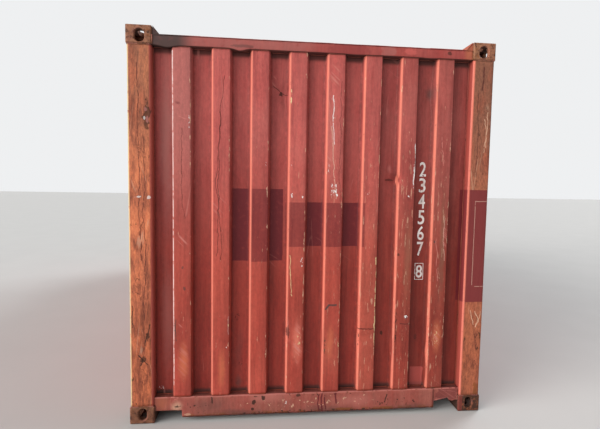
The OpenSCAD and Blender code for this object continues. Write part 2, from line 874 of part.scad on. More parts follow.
module door_header() {
    x = half_w - casting_w;
    x_post = half_w - jamb_inner;
    y0 = half_l - door_set - beam_l;
    y1 = half_l - door_set;
    color(steel) union() {
        along(y0, y1) difference() {
            union() {
                translate([-x, header_foot]) square([2 * x, top_rail_top - header_foot]);
                translate([-x_post, header_foot])
                    square([2 * x_post, top_rail_z - header_foot]);
            }
            translate([-x - over, header_foot + beam_t])
                square([2 * (x + over), top_rail_top - header_foot - 2 * beam_t]);
        }
        for (y = [y0, y1 - beam_t])
            block(-x, x, y, y + beam_t, header_foot, top_rail_top);
    }
}

// Door sill: closed box with a foot, ending at the castings below and the posts above
module door_sill() {
    x = half_w - casting_w;
    x_post = half_w - jamb_inner;
    y0 = half_l - door_set - beam_l;
    y1 = half_l - door_set;
    color(steel) difference() {
        along(y0, y1) union() {
            translate([-x, door_sill_foot]) square([2 * x, door_sill_top - door_sill_foot]);
            translate([-x_post, casting_h]) square([2 * x_post, door_sill_top - casting_h]);
        }
        block(-width, width, y0 + beam_t, y1 - beam_t,
            door_sill_foot + beam_t, door_sill_top - beam_t);
    }
}

// Door leaf: frame with a pressed panel whose ridges carry the lock bar guides
module door(right) {
    x0 = -half_w + leaf_edge;
    x1 = x0 + leaf_w;
    y1 = half_l - door_set;
    y0 = y1 - leaf_t;
    recess = panel_set + panel_depth;
    path = concat(
        [[x0 + stile_w - panel_mid - panel_lap, recess]],
        ridges(panel_ridges, panel_pitch, panel_face, panel_slope, panel_set, recess),
        [[x1 - stile_w - panel_mid + panel_lap, recess]]
    );
    color(steel) flip(right, [1, 0, 0]) union() {
        difference() {
            block(x0, x1, y0, y1, leaf_foot, leaf_top);
            block(x0 + stile_w, x1 - stile_w, y0 - over, y1 + over,
                leaf_foot + cross_h, leaf_top - cross_h);
            difference() {
                block(x0 + leaf_wall, x1 - leaf_wall, y0 - over, y1 - leaf_wall,
                    leaf_foot + leaf_wall, leaf_top - leaf_wall);
                block(x0 + stile_w - leaf_wall, x1 - stile_w + leaf_wall, y0 - 2 * over, y1,
                    leaf_foot + cross_h - leaf_wall, leaf_top - cross_h + leaf_wall);
            }
        }
        translate([panel_mid, y1, leaf_foot + cross_h - panel_lap]) mirror([0, 1, 0])
            linear_extrude(leaf_top - leaf_foot - 2 * cross_h + 2 * panel_lap)
                polygon(sheet(rounded(path, sheet_r, sheet_steps), front_t));
    }
}

// Rubber gasket round a leaf, its lip over the gap to the frame
module door_seal(right) {
    x0 = -half_w + leaf_edge;
    x1 = x0 + leaf_w;
    y0 = half_l - door_set - leaf_t;
    color(rubber_black) flip(right, [1, 0, 0]) difference() {
        block(x0 - seal_lip, x1 + seal_lip, y0, y0 + seal_l,
            leaf_foot - seal_lip, leaf_top + seal_lip);
        block(x0, x1, y0 - over, y0 + seal_l + over, leaf_foot, leaf_top);
    }
}

// Where the four lock bars stand, counted from the left in the front view
function bar_x(n) = let (left = -half_w + leaf_edge) [
    left + bar_outer,
    left + leaf_w - bar_inner,
    -left - leaf_w + bar_inner,
    -left - bar_outer
][n - 1];

// Keeper in plan: on each side of the bar a foot and a prong with a lip turned inwards
module keeper_plan() {
    foot = hub_r + cam_gap;
    both_halves() {
        translate([foot, 0]) square([keeper_half - foot, keeper_foot_t]);
        translate([keeper_half - keeper_t, 0]) square([keeper_t, keeper_front]);
        translate([keeper_half - keeper_t - keeper_lip, keeper_front - keeper_t])
            square([keeper_t + keeper_lip, keeper_t]);
    }
}

// Cam in plan: a hub round the bar and two toes held behind the keeper's lips
module cam_plan() {
    toe_front = keeper_front - keeper_t - cam_gap;
    toe_back = keeper_foot_t + cam_gap;
    reach = keeper_half - keeper_t - cam_gap;
    r = (toe_front - toe_back) / 2;
    translate([0, bar_reach]) circle(hub_r);
    translate([-reach + r, toe_back]) square([2 * (reach - r), 2 * r]);
    for (s = [-1, 1]) translate([s * (reach - r), toe_back + r]) circle(r);
}

module cam_keepers() {
    color(rust_brown) for (n = [1:4], z = [keeper_low, keeper_high])
        translate([bar_x(n), half_l - door_set, z - keeper_h / 2])
            linear_extrude(keeper_h) keeper_plan();
}

// Lock bar with its two cams, its handle and the hub that carries the handle
module lock_bar(n) {
    outer = n == 1 || n == 4;
    level = handle_level + (outer ? 0 : handle_step);
    way = n < 3 ? 1 : -1;
    turn = outer ? way : -way;
    cam_h = keeper_h - 2 * cam_slack;
    color(steel) translate([bar_x(n), 0, 0]) union() {
        translate([0, bar_y, keeper_low]) difference() {
            cylinder(keeper_high - keeper_low, d = bar_d);
            translate([0, 0, -over])
                cylinder(keeper_high - keeper_low + 2 * over, d = bar_d - 2 * bar_t);
        }
        for (z = [keeper_low, keeper_high])
            translate([0, half_l - door_set, z - cam_h / 2]) linear_extrude(cam_h) cam_plan();
        translate([0, bar_y, level - handle_hub_h / 2]) difference() {
            cylinder(handle_hub_h, d = bar_d + 2 * handle_hub_t);
            translate([0, 0, -over]) cylinder(handle_hub_h + 2 * over, d = bar_d - over);
        }
        translate([0, bar_y - handle_t / 2, level]) rotate([90, 0, 0]) mirror([0, 0, 1])
            linear_extrude(handle_t) flip(turn < 0, [1, 0]) handle_plan();
    }
}

// Handle seen from behind: a tapered neck, a straight grip and a round end
module handle_plan() {
    grip = bar_d / 2 + neck_l;
    end = handle_l - handle_w / 2;
    polygon([
        [bar_d / 2, -handle_root / 2],
        [grip, -handle_w / 2],
        [end, -handle_w / 2],
        [end, handle_w / 2],
        [grip, handle_w / 2],
        [bar_d / 2, handle_root / 2]
    ]);
    translate([end, 0]) circle(handle_w / 2);
}

// Guide brackets that hold the lock bars: two on the leaf's frame, two on the panel
module lock_bar_guides() {
    span = leaf_top - leaf_foot;
    on_frame = [leaf_foot + guide_inset, leaf_top - guide_inset];
    on_panel = [leaf_foot + span * guide_low, leaf_foot + span * guide_high];
    color(rust_brown) for (n = [1:4]) {
        for (z = on_frame) guide(bar_x(n), z, 0);
        for (z = on_panel) guide(bar_x(n), z, panel_set - front_t / 2);
    }
}

// One guide: a saddle round the bar on a flat foot, back being how deep its seat lies
module guide(x, z, back) {
    outer = bar_d / 2 + guide_t;
    axis = bar_reach + back;
    translate([x, half_l - door_set - back, z - guide_h / 2])
        linear_extrude(guide_h) difference() {
            intersection() {
                union() {
                    translate([0, axis]) circle(outer);
                    translate([-outer, 0]) square([2 * outer, axis]);
                    translate([-guide_foot, 0]) square([2 * guide_foot, guide_t + back]);
                }
                translate([-guide_foot, 0]) square([2 * guide_foot, 2 * axis + guide_t]);
            }
            translate([0, axis]) circle(d = bar_d + 2 * fit_gap);
        }
}

// A catch on the panel's middle ridge under each handle: plate, pad, shelf and front lip
module handle_catch() {
    face = -(panel_set - front_t / 2);
    pad = bar_reach - handle_t / 2 - fit_gap;
    front = bar_reach + handle_t / 2 + catch_gap;
    low = -handle_w / 2 - catch_gap - catch_t;
    high = handle_w / 2 - catch_gap;
    across(-catch_w / 2, catch_w / 2) {
        translate([face, low - catch_rim]) square([catch_t - face, high - low + 2 * catch_rim]);
        translate([face, low]) square([pad - face, high - low]);
        translate([face, low]) square([front + catch_t - face, catch_t]);
        translate([front, low]) square([catch_t, catch_lip]);
    }
}

module handle_catches() {
    color(rust_brown) both_sides() for (level = [handle_level, handle_level + handle_step])
        translate([panel_mid, half_l - door_set, level]) handle_catch();
}

hinge_levels = [for (i = [0:hinges - 1])
    leaf_foot + hinge_inset + i * (leaf_top - leaf_foot - 2 * hinge_inset) / (hinges - 1)];

// Two lugs on the post and the pin through them, at each hinge
module hinge_lugs() {
    color(rust_brown) for (right = [false, true], z = hinge_levels)
        at_corner(right, true, false) translate([0, 0, z]) union() {
            for (s = [-1, 1])
                translate([0, 0, s * (blade_h / 2 + lug_t / 2 + fit_gap) - lug_t / 2])
                    linear_extrude(lug_t) union() {
                        translate([hinge_axis_u, hinge_axis_v]) circle(knuckle_r);
                        translate([reveal + lip_w, hinge_axis_v - knuckle_r])
                            square([hinge_axis_u - reveal - lip_w, 2 * knuckle_r]);
                    }
            translate([hinge_axis_u, hinge_axis_v, -blade_h / 2 - lug_t - pin_reach])
                cylinder(blade_h + 2 * (lug_t + pin_reach), d = pin_d);
        }
}

// A forged blade on the leaf with a knuckle round the pin, at each hinge
module hinge_blades() {
    r = knuckle_r;
    color(rust_brown) for (right = [false, true], z = hinge_levels)
        at_corner(right, true, false) translate([0, 0, z - blade_h / 2])
            linear_extrude(blade_h) difference() {
                union() {
                    translate([hinge_axis_u, hinge_axis_v]) circle(r);
                    polygon([
                        [hinge_axis_u, hinge_axis_v - r],
                        [leaf_edge + blade_bend, door_set - blade_t],
                        [leaf_edge + blade_l, door_set - blade_t],
                        [leaf_edge + blade_l, door_set],
                        [leaf_edge, door_set],
                        [hinge_axis_u, hinge_axis_v + r]
                    ]);
                }
                translate([hinge_axis_u, hinge_axis_v]) circle(d = pin_d + 2 * fit_gap);
            }
}

casting_at(false, false, false);  // casting_front_left_bottom
casting_at(true, false, false);  // casting_front_right_bottom
casting_at(false, true, false);  // casting_rear_left_bottom
casting_at(true, true, false);  // casting_rear_right_bottom
casting_at(false, false, true);  // casting_front_left_top
casting_at(true, false, true);  // casting_front_right_top
casting_at(false, true, true);  // casting_rear_left_top
casting_at(true, true, true);  // casting_rear_right_top
front_post(false);  // front_post_left
front_post(true);  // front_post_right
rear_post(false);  // rear_post_left
rear_post(true);  // rear_post_right
front_header();
front_sill();
front_sill_plate();
front_wall();
side_wall(false);  // side_wall_left
side_wall(true);  // side_wall_right
roof();
roof_corner_plates();
top_rail(false);  // top_rail_left
top_rail(true);  // top_rail_right
bottom_rail(false);  // bottom_rail_left
bottom_rail(true);  // bottom_rail_right
cross_members();
fork_pocket_plates();
floor_deck();  // floor
ventilators();
door_header();
door_sill();
door(false);  // door_left
door(true);  // door_right
door_seal(false);  // door_seal_left
door_seal(true);  // door_seal_right
lock_bar(1);  // lock_bar_1
lock_bar(2);  // lock_bar_2
lock_bar(3);  // lock_bar_3
lock_bar(4);  // lock_bar_4
lock_bar_guides();
cam_keepers();
handle_catches();
hinge_lugs();
hinge_blades();
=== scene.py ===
import math
from collections import namedtuple

import bpy
from bpy.props import FloatProperty, FloatVectorProperty, IntProperty, PointerProperty
from mathutils import Matrix, Vector, noise


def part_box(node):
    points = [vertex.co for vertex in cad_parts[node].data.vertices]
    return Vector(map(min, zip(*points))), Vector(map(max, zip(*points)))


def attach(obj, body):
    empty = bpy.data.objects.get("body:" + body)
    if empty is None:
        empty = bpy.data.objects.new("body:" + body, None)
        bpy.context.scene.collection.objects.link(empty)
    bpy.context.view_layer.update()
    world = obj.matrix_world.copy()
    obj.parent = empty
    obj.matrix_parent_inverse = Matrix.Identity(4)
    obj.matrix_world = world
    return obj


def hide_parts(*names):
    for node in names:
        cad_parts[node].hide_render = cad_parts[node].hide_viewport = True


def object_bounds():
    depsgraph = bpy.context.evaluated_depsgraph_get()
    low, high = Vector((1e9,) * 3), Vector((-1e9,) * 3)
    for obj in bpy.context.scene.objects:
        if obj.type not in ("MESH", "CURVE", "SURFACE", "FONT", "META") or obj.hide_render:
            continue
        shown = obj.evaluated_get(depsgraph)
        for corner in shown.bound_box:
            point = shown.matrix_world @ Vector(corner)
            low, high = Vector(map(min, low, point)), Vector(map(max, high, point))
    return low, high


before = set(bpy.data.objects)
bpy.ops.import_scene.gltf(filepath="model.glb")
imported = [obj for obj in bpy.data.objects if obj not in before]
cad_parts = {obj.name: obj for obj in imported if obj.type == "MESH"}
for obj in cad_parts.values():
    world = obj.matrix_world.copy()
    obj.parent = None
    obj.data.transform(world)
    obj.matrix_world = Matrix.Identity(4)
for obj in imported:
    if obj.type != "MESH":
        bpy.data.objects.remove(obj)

bl_info = {
    "name": "Weathered freight container",
    "version": (1, 0, 0),
    "blender": (4, 5, 0),
    "location": "3D View > Sidebar > Container",
    "description": "Dresses a steel freight container in worn paint, rust, welds and fasteners",
    "category": "Add Mesh",
}

CAD_LOW, CAD_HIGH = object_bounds()
WALL_LOW, WALL_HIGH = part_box("front_wall")
HEADER_LOW, HEADER_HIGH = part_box("front_header")
SILL_LOW, SILL_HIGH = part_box("front_sill")
PLATE_LOW, PLATE_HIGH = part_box("front_sill_plate")
POST_LOW, POST_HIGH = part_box("front_post_left")
CASTING_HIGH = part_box("casting_front_left_bottom")[1]
FRONT = CAD_LOW[1]
HALF_WIDTH = 1.219      # half the width of the whole container
NOTCH_CUT = 0.0004      # between the mesh columns at a sill notch
LOW_GLOSS = 0.22        # specular level of old paint

# What happened to the sheet metal: a middle, how far it reaches each way, how deep it
# goes in, and how far it pushes the metal sideways, in metres
Dent = namedtuple("Dent", "x z wide high depth shift")
WALL_DENTS = [Dent(*row) for row in (
    (-0.235, 2.205, 0.05, 0.06, 0.014, 0.0), (-0.19, 2.17, 0.03, 0.045, 0.01, -0.012),
    (0.555, 1.652, 0.035, 0.03, 0.012, 0.014), (0.515, 1.64, 0.04, 0.04, 0.006, 0.006),
    (0.8, 2.24, 0.045, 0.07, 0.008, -0.01), (0.395, 0.655, 0.07, 0.05, -0.009, 0.0),
    (0.38, 0.56, 0.07, 0.04, 0.008, 0.0), (-0.185, 0.59, 0.025, 0.05, 0.004, 0.009),
    (0.07, 0.56, 0.025, 0.07, 0.003, -0.008), (0.32, 0.52, 0.025, 0.06, 0.004, 0.009),
    (0.56, 0.48, 0.025, 0.08, 0.004, -0.009), (0.815, 0.44, 0.025, 0.05, 0.003, 0.004),
    (0.815, 0.3, 0.03, 0.08, 0.002, -0.006), (-0.92, 0.66, 0.04, 0.05, 0.005, 0.0),
)]
HEADER_SAGS = [Dent(*row) for row in (
    (-0.965, 0, 0.05, 1, 0.013, 0), (-0.51, 0, 0.04, 1, 0.014, 0), (0.25, 0, 0.06, 1, 0.003, 0),
    (0.76, 0, 0.05, 1, 0.003, 0),
)]


def lengths(name, about, size):
    return FloatProperty(name=name, description=about, default=size, min=size / 4,
                         max=size * 4, unit="LENGTH", precision=4)


def angle(name, about, degrees):
    return FloatProperty(name=name, description=about, default=math.radians(degrees),
                         subtype="ANGLE")


def amount(name, about, value):
    return FloatProperty(name=name, description=about, default=value, min=0.0)


def colour(name, about, value):
    return FloatVectorProperty(name=name, description=about, default=value, size=3,
                               min=0.0, max=1.0, subtype="COLOR")


class WallSizes(bpy.types.PropertyGroup):
    """The pressed front wall"""
    pitch: lengths("Pitch", "Distance from ridge to ridge", 0.251)
    face: lengths("Face", "Width of a ridge's outer face", 0.112)
    slope: lengths("Slope", "Width of a ridge's slope seen from the front", 0.018)
    depth: lengths("Depth", "Depth of a ridge", 0.046)
    ridges: IntProperty(name="Ridges", description="Number of ridges", default=8, min=1, max=12)
    bend: lengths("Bend", "Radius of the inner bends", 0.009)
    ridge_bend: lengths("Ridge bend", "Radius of the ridges' outer bends", 0.0045)
    sheet: lengths("Sheet", "Thickness of the sheet", 0.002)
    cell: lengths("Mesh size", "Largest spacing of the mesh", 0.016)
    wave: lengths("Waviness", "How far the old sheet waves in and out", 0.0016)


class FrameSizes(bpy.types.PropertyGroup):
    """Posts, header and sill of the front end"""
    post_sheet: lengths("Post sheet", "Thickness of a pressed post", 0.006)
    post_bend: lengths("Post bend", "Outer radius of a post's bends", 0.012)
    side_recess: lengths("Side recess", "Depth of the side walls' flats", 0.043)
    wall_recess: lengths("Wall recess", "Depth of the front wall's flats", 0.064)
    sill_sheet: lengths("Sill sheet", "Thickness of the front sill", 0.004)
    notch_w: lengths("Notch width", "Width of the notch beside a casting", 0.176)
    notch_h: lengths("Notch height", "Height of that notch above the sill's edge", 0.048)
    rail_round: lengths("Rail corner", "Outer corner radius of the box rails", 0.006)
    rail_sheet: lengths("Rail sheet", "Thickness of the box rails", 0.003)
    plate_sheet: lengths("Plate", "Thickness of the sill's doubling plate", 0.0055)
    casting_round: lengths("Casting edge", "Rounding of the castings' edges", 0.007)
    steel_round: lengths("Steel edge", "Rounding of the other packed steel", 0.0012)


class WeldSizes(bpy.types.PropertyGroup):
    """Weld beads and fasteners"""
    bead: lengths("Bead", "Radius of a weld bead", 0.0035)
    ripple: lengths("Ripple", "Distance between the ripples of a bead", 0.009)
    bolt: lengths("Bolt head", "Width of a bolt head across its flats", 0.013)
    rivet: lengths("Rivet head", "Diameter of a rivet head", 0.022)


class PaintColours(bpy.types.PropertyGroup):
    """Colours of the finishes"""
    # also laid, partly as painted shade, in the flats and on the lit left slopes
    fresh: colour("Fresh paint", "Red-brown paint where it is sheltered", (0.26, 0.044, 0.042))
    faded: colour("Faded paint", "Red-brown paint bleached on the ridges", (0.59, 0.122, 0.104))
    # also painted highlights at a dent and along the torn notch
    chalk: colour("Chalky paint", "Palest, most weathered paint", (0.58, 0.2, 0.165))
    repaint: colour("Repaint", "Darker paint rolled over old markings", (0.112, 0.011, 0.017))
    low_tint: colour("Lower tint", "What paint near the ground is multiplied by",
                     (0.9, 0.69, 0.54))
    # also the painted highlight on the header's right end
    post: colour("Post paint", "Orange-brown of the weathered posts", (0.43, 0.125, 0.065))
    post_dark: colour("Dark grain", "Dark grain of the posts", (0.25, 0.072, 0.04))
    post_bright: colour("Bright grain", "Orange streaks on the posts", (0.76, 0.225, 0.1))
    post_grey: colour("Grey grain", "Grey-brown bloom high on the posts", (0.25, 0.12, 0.07))
    post_pale: colour("Pale grain", "Tan scratches on the posts", (0.68, 0.4, 0.27))
    # also laid as painted shade in the flats' inner bends and behind the sill's face
    crack: colour("Crack", "Dark red-brown of cracks in the paint", (0.09, 0.022, 0.018))
    # pale yellow chips and scratches, and the painted highlight on the left post's outer bend
    post_edge: colour("Pale bend", "Bleached outer bend of the posts", (0.72, 0.56, 0.3))
    # painted highlight along the bends that face the light, and one pale worn patch
    bleach: colour("Bleached bend", "Brightest paint, along the bends that face the light",
                   (0.84, 0.235, 0.16))
    # painted shade: the front wall darker towards the right
    turned: colour("Far side tint", "What paint towards the right is multiplied by",
                   (0.64, 0.64, 0.62))
    # partly painted shade: the flats darker and more plum low down
    sheltered: colour("Sheltered tint", "What paint low in the flats is multiplied by",
                      (0.78, 0.64, 0.68))
    greyed: colour("Greyed paint", "Dull pinkish grey of the outermost ridge", (0.4, 0.15, 0.13))
    grime: colour("Grime", "Dark grey-brown grime", (0.085, 0.05, 0.045))
    header: colour("Header paint", "Darker red of the header", (0.37, 0.064, 0.052))
    sill: colour("Sill paint", "Pinkish red of the sill", (0.3, 0.114, 0.088))
    casting: colour("Casting", "Brown of the castings", (0.15, 0.06, 0.036))
    casting_pale: colour("Worn casting", "Paler metal of the castings", (0.36, 0.16, 0.085))
    rust: colour("Rust", "Orange-brown rust", (0.23, 0.07, 0.02))
    # also laid as painted shade on the castings' inner sides
    rust_dark: colour("Dark rust", "Old, nearly black rust", (0.04, 0.018, 0.012))
    # also a painted highlight at the torn notch
    primer: colour("Primer", "Pale primer and bare metal in scratches", (0.64, 0.4, 0.31))
    # also laid as painted shade under what faces down and in the flats under the header
    dirt: colour("Dirt", "Black-brown dirt", (0.05, 0.028, 0.024))
    # also the painted catch-light on the first ridge's left bend
    white: colour("White paint", "Paint of the numerals", (0.86, 0.83, 0.8))
    wood: colour("Plywood", "Oiled plywood floor", (0.3, 0.17, 0.09))
    rubber: colour("Rubber", "Door gaskets", (0.02, 0.02, 0.02))
    coating: colour("Underframe coating", "Dark coating under the floor", (0.085, 0.045, 0.036))


class StageSizes(bpy.types.PropertyGroup):
    """Camera, floor and light"""
    camera_at: FloatVectorProperty(name="Camera", description="Where the camera stands",
                                   default=(-0.385, -5.776, 1.605), size=3, unit="LENGTH")
    heading: angle("Heading", "Camera's turn to the right", 5.81)
    tilt: angle("Tilt", "Camera's tilt upwards", -4.02)
    roll: angle("Roll", "Camera's roll", 0.95)
    lens: FloatProperty(name="Lens", description="Focal length on a 36 mm sensor",
                        default=24.89, min=10, max=100)
    floor: colour("Floor", "Pale floor", (0.62, 0.61, 0.59))
    backdrop: colour("Backdrop", "Pale background", (0.86, 0.87, 0.88))
    sky: amount("Soft light", "Light from all round", 0.36)
    side: amount("Side light", "Wide light from the left front", 1.55)
    key: amount("Key light", "Wide light from the left", 2.4)
    fill: amount("Back light", "Light on the far sides", 1.6)


# ---------------------------------------------------------------- shader building blocks

class Field:
    """A value that changes over a surface: a node's output socket that can be added to or
    multiplied, which puts the maths nodes into its own tree."""

    def __init__(self, socket):
        self.socket = socket
        self.tree = socket.id_data

    def __add__(self, other):
        return maths("ADD", self, other)

    def __sub__(self, other):
        return maths("SUBTRACT", self, other)

    def __rsub__(self, other):
        return maths("SUBTRACT", other, self)

    def __mul__(self, other):
        return maths("MULTIPLY", self, other)

    def __truediv__(self, other):
        return maths("DIVIDE", self, other)

    def __abs__(self):
        return maths("ABSOLUTE", self)

    __radd__, __rmul__ = __add__, __mul__


def feed(socket, value):
    """Links a field to an input, or sets the input to a plain value."""
    if isinstance(value, Field):
        value.tree.links.new(value.socket, socket)
    elif socket.type == "RGBA":
        socket.default_value = (*value[:3], 1.0)
    else:
        socket.default_value = value


def put(kind, inputs=(), out=0, tree=None, **settings):
    """Adds a node beside the fields it is fed with, or to the tree given. Gives one of its
    outputs as a field, or the node where out is None."""
    inputs = dict(inputs)
    if tree is None:
        tree = next(value.tree for value in inputs.values() if isinstance(value, Field))
    node = tree.nodes.new(kind)
    for key, value in settings.items():
        setattr(node, key, value)
    for key, value in inputs.items():
        feed(node.inputs[key], value)
    return node if out is None else Field(node.outputs[out])


def maths(operation, a, b=0.0):
    return put("ShaderNodeMath", {0: a, 1: b}, operation=operation)


def vector_maths(operation, a, b, out=0):
    return put("ShaderNodeVectorMath", {0: a, 1: b}, out, operation=operation)


def stretched(place, by):
    """A place times one number."""
    return put("ShaderNodeVectorMath", {0: place, "Scale": by}, operation="SCALE")


def most(first, *others):
    for other in others:
        first = maths("MAXIMUM", first, other)
    return first


def split(place):
    """The three numbers of a place."""
    return [Field(s) for s in put("ShaderNodeSeparateXYZ", {0: place}, None).outputs]


def joined(x, y, z):
    return put("ShaderNodeCombineXYZ", {0: x, 1: y, 2: z})


def ramp(value, low, high, to_low=0.0, to_high=1.0):
    """Value from low to high becomes to_low to to_high, smoothly and clamped."""
    return put("ShaderNodeMapRange", {"Value": value, "From Min": low, "From Max": high,
                                      "To Min": to_low, "To Max": to_high},
               interpolation_type="SMOOTHSTEP")


def mixed(factor, a, b, how="MIX"):
    return put("ShaderNodeMix", {0: factor, 6: a, 7: b}, 2, data_type="RGBA", blend_type=how)


def scaled(place, scale, stretch=(1, 1, 1), seed=0.0):
    """Place, times a scale, less so along the axes with a stretch, and moved by the seed."""
    if isinstance(scale, Field):
        grown = vector_maths("MULTIPLY", stretched(place, scale), stretch)
    else:
        grown = vector_maths("MULTIPLY", place, [scale * s for s in stretch])
    shift = joined(seed, seed, seed) if isinstance(seed, Field) else (seed,) * 3
    return vector_maths("ADD", grown, shift)


def cloud(place, detail=3.0, roughness=0.5, distortion=0.0, out=0):
    return put("ShaderNodeTexNoise", {"Vector": place, "Scale": 1.0, "Detail": detail,
                                      "Roughness": roughness, "Distortion": distortion}, out)


def contour(lines, level, width, core):
    """A line of a width where the noise passes a level, solid for the share that is core."""
    return ramp(abs(lines - level), width * core, width, 1, 0)


def above(noisy, amount, top, fall, soft):
    """Where a noise passes a limit, which falls as the amount grows."""
    limit = top - amount * fall
    return ramp(noisy, limit, limit + soft)


# ---------------------------------------------------------------- shared effects

GROUPS = {}


def shared(name, outputs=("Mask",), **inputs):
    """Marks the function that fills the node group with this name and these inputs."""
    def keep(fill):
        GROUPS[name] = (fill, outputs, {"Place": None, **inputs})
        return fill
    return keep


def build_groups():
    """Builds each shared effect once, as a node group with named sockets."""
    kinds = {float: "NodeSocketFloat", tuple: "NodeSocketColor", type(None): "NodeSocketVector"}
    for name, (fill, outputs, inputs) in GROUPS.items():
        tree = bpy.data.node_groups.new(name, "ShaderNodeTree")
        for label, start in inputs.items():
            socket = tree.interface.new_socket(name=label, in_out="INPUT",
                                               socket_type=kinds[type(start)])
            if start is not None:
                socket.default_value = start
        for label in outputs:
            kind = kinds[tuple if label == "Colour" else float]
            tree.interface.new_socket(name=label, in_out="OUTPUT", socket_type=kind)
        entry, leave = tree.nodes.new("NodeGroupInput"), tree.nodes.new("NodeGroupOutput")
        made = fill(*[Field(entry.outputs[label]) for label in inputs])
        for label, field in zip(outputs, [made] if len(outputs) == 1 else made):
            feed(leave.inputs[label], field)


def effect(name, out="Mask", **inputs):
    """Places a shared effect and gives the output with that name."""
    return put("ShaderNodeGroup", inputs, out, node_tree=bpy.data.node_groups[name])


@shared("Paint fade", Scale=3.0, Contrast=0.2, Seed=0.0)
def paint_fade(place, scale, contrast, seed):
    """Broad bleaching and streaks of old paint."""
    broad = cloud(scaled(place, scale, (1, 1, 0.45), seed), 6, 0.62)
    streak = cloud(scaled(place, scale, (9, 9, 0.5), seed), 4, 0.6)
    return ramp(broad * 0.6 + streak * 0.4, 0.5 - contrast, 0.5 + contrast)


@shared("Grain cracks", Scale=8.0, Stretch=0.1, Width=0.02, Amount=0.5, Seed=0.0)
def grain_cracks(place, scale, stretch, width, amount, seed):
    """Long wavering cracks, as contour lines of a stretched noise."""
    lines = cloud(scaled(place, scale, joined(1.0, 1.0, stretch), seed), 5, 0.55, 0.35)
    broken = cloud(scaled(place, scale, (0.7, 0.7, 0.25), 7.7))
    return contour(lines, 0.5, width, 0.3) * above(broken, amount, 0.78, 0.56, 0.08)


@shared("Scratches", Angle=0.3, Scale=10.0, Width=0.012, Amount=0.4, Seed=0.0)
def scratches(place, angle, scale, width, amount, seed):
    """Fine straight scratches, turned in the plane of the front."""
    turned = put("ShaderNodeVectorRotate", {"Vector": place, "Angle": angle},
                 rotation_type="Y_AXIS")
    lines = cloud(scaled(turned, scale, (1, 1, 0.04), seed), 2, 0.4)
    broken = cloud(scaled(turned, scale, (0.6, 0.6, 0.2), 3.1))
    return contour(lines, 0.52, width, 0.2) * above(broken, amount, 0.8, 0.5, 0.05)


@shared("Rust", ("Mask", "Colour", "Height"), Amount=0.2, Scale=20.0,
        Bright=(0.23, 0.07, 0.02, 1), Dark=(0.04, 0.018, 0.012, 1), Seed=0.0)
def rust(place, amount, scale, bright, dark, seed):
    """Rust where the amount, with noise on it, is high: its mask, colour and height."""
    patchy = cloud(scaled(place, scale, seed=seed), 8, 0.65)
    mask = above(patchy, amount, 0.82, 0.62, 0.07)
    fine = cloud(scaled(place, 90.0), 4, 0.7)
    tone = ramp(fine * 0.5 + patchy * 0.5, 0.42, 0.6)
    return mask, mixed(tone, bright, dark), mask * ramp(fine, 0.3, 0.7, 0.4, 1.0)


@shared("Flakes", Where=0.0, Scale=60.0, Stretch=0.5, Seed=0.0)
def flakes(place, where, scale, stretch, seed):
    """Small flakes off the paint, thick where they are wanted and none elsewhere."""
    fine = cloud(scaled(place, scale, joined(1.0, 1.0, stretch), seed), 5, 0.62)
    return above(fine, where, 0.80, 0.32, 0.03)


@shared("Runs", Scale=14.0, Amount=0.4, Seed=0.0)
def runs(place, scale, amount, seed):
    """Runs of dirt and rust that the rain drew down the sheet."""
    drawn = cloud(scaled(place, scale, (1, 1, 0.03), seed), 4, 0.6)
    fading = cloud(scaled(place, scale, (0.3, 0.3, 0.12), 5.5))
    return above(drawn, amount, 0.74, 0.4, 0.16) * ramp(fading, 0.4, 0.65)


@shared("Edge wear", Radius=0.006, Amount=0.5, Scale=25.0, Bend=0.0)
def edge_wear(place, radius, amount, scale, bend):
    """Wear along edges, where a rounded normal leaves the true one."""
    rounded = put("ShaderNodeBevel", {"Radius": radius}, samples=4)
    true = put("ShaderNodeNewGeometry", out="True Normal", tree=place.tree)
    turn = vector_maths("DOT_PRODUCT", rounded, true, "Value")
    broken = cloud(scaled(place, scale), 6, 0.65)
    return most(ramp(turn, 0.98, 0.80), bend) * above(broken, amount, 0.8, 0.6, 0.1)


@shared("Patch", Low=None, High=None, Soft=0.003)
def patch(place, low, high, soft):
    """A box-shaped patch."""
    least, *rest = (split(vector_maths("SUBTRACT", place, low))
                    + split(vector_maths("SUBTRACT", high, place)))
    for gap in rest:
        least = maths("MINIMUM", least, gap)
    return ramp(least, 0.0, soft)


@shared("Line mark", From=None, To=None, Width=0.004, Chips=0.5, Breaks=0.4)
def line_mark(place, start, end, width, chips, breaks):
    """A line between two points, such as one scratch or crack, broken where the chips are."""
    along = vector_maths("SUBTRACT", end, start)
    here = vector_maths("SUBTRACT", place, start)
    share = (vector_maths("DOT_PRODUCT", here, along, "Value")
             / vector_maths("DOT_PRODUCT", along, along, "Value"))
    nearest = stretched(along, put("ShaderNodeClamp", {0: share}))
    gap = put("ShaderNodeVectorMath", {0: vector_maths("SUBTRACT", here, nearest)}, "Value",
              operation="LENGTH")
    return ramp(gap, width * 0.3, width, 1, 0) * ramp(chips, breaks - 0.05, breaks)


@shared("Spot", Centre=None, Size=None, Chips=0.5, Ragged=0.5, Soft=0.3)
def spot(place, centre, size, chips, ragged, soft):
    """A blotch round a point, its edge ragged by the chips."""
    off = vector_maths("DIVIDE", vector_maths("SUBTRACT", place, centre), size)
    far = put("ShaderNodeVectorMath", {0: off}, "Value", operation="LENGTH")
    return ramp(far + (chips - 0.5) * (ragged * 4.0), 1.0 - soft, 1.0, 1, 0)


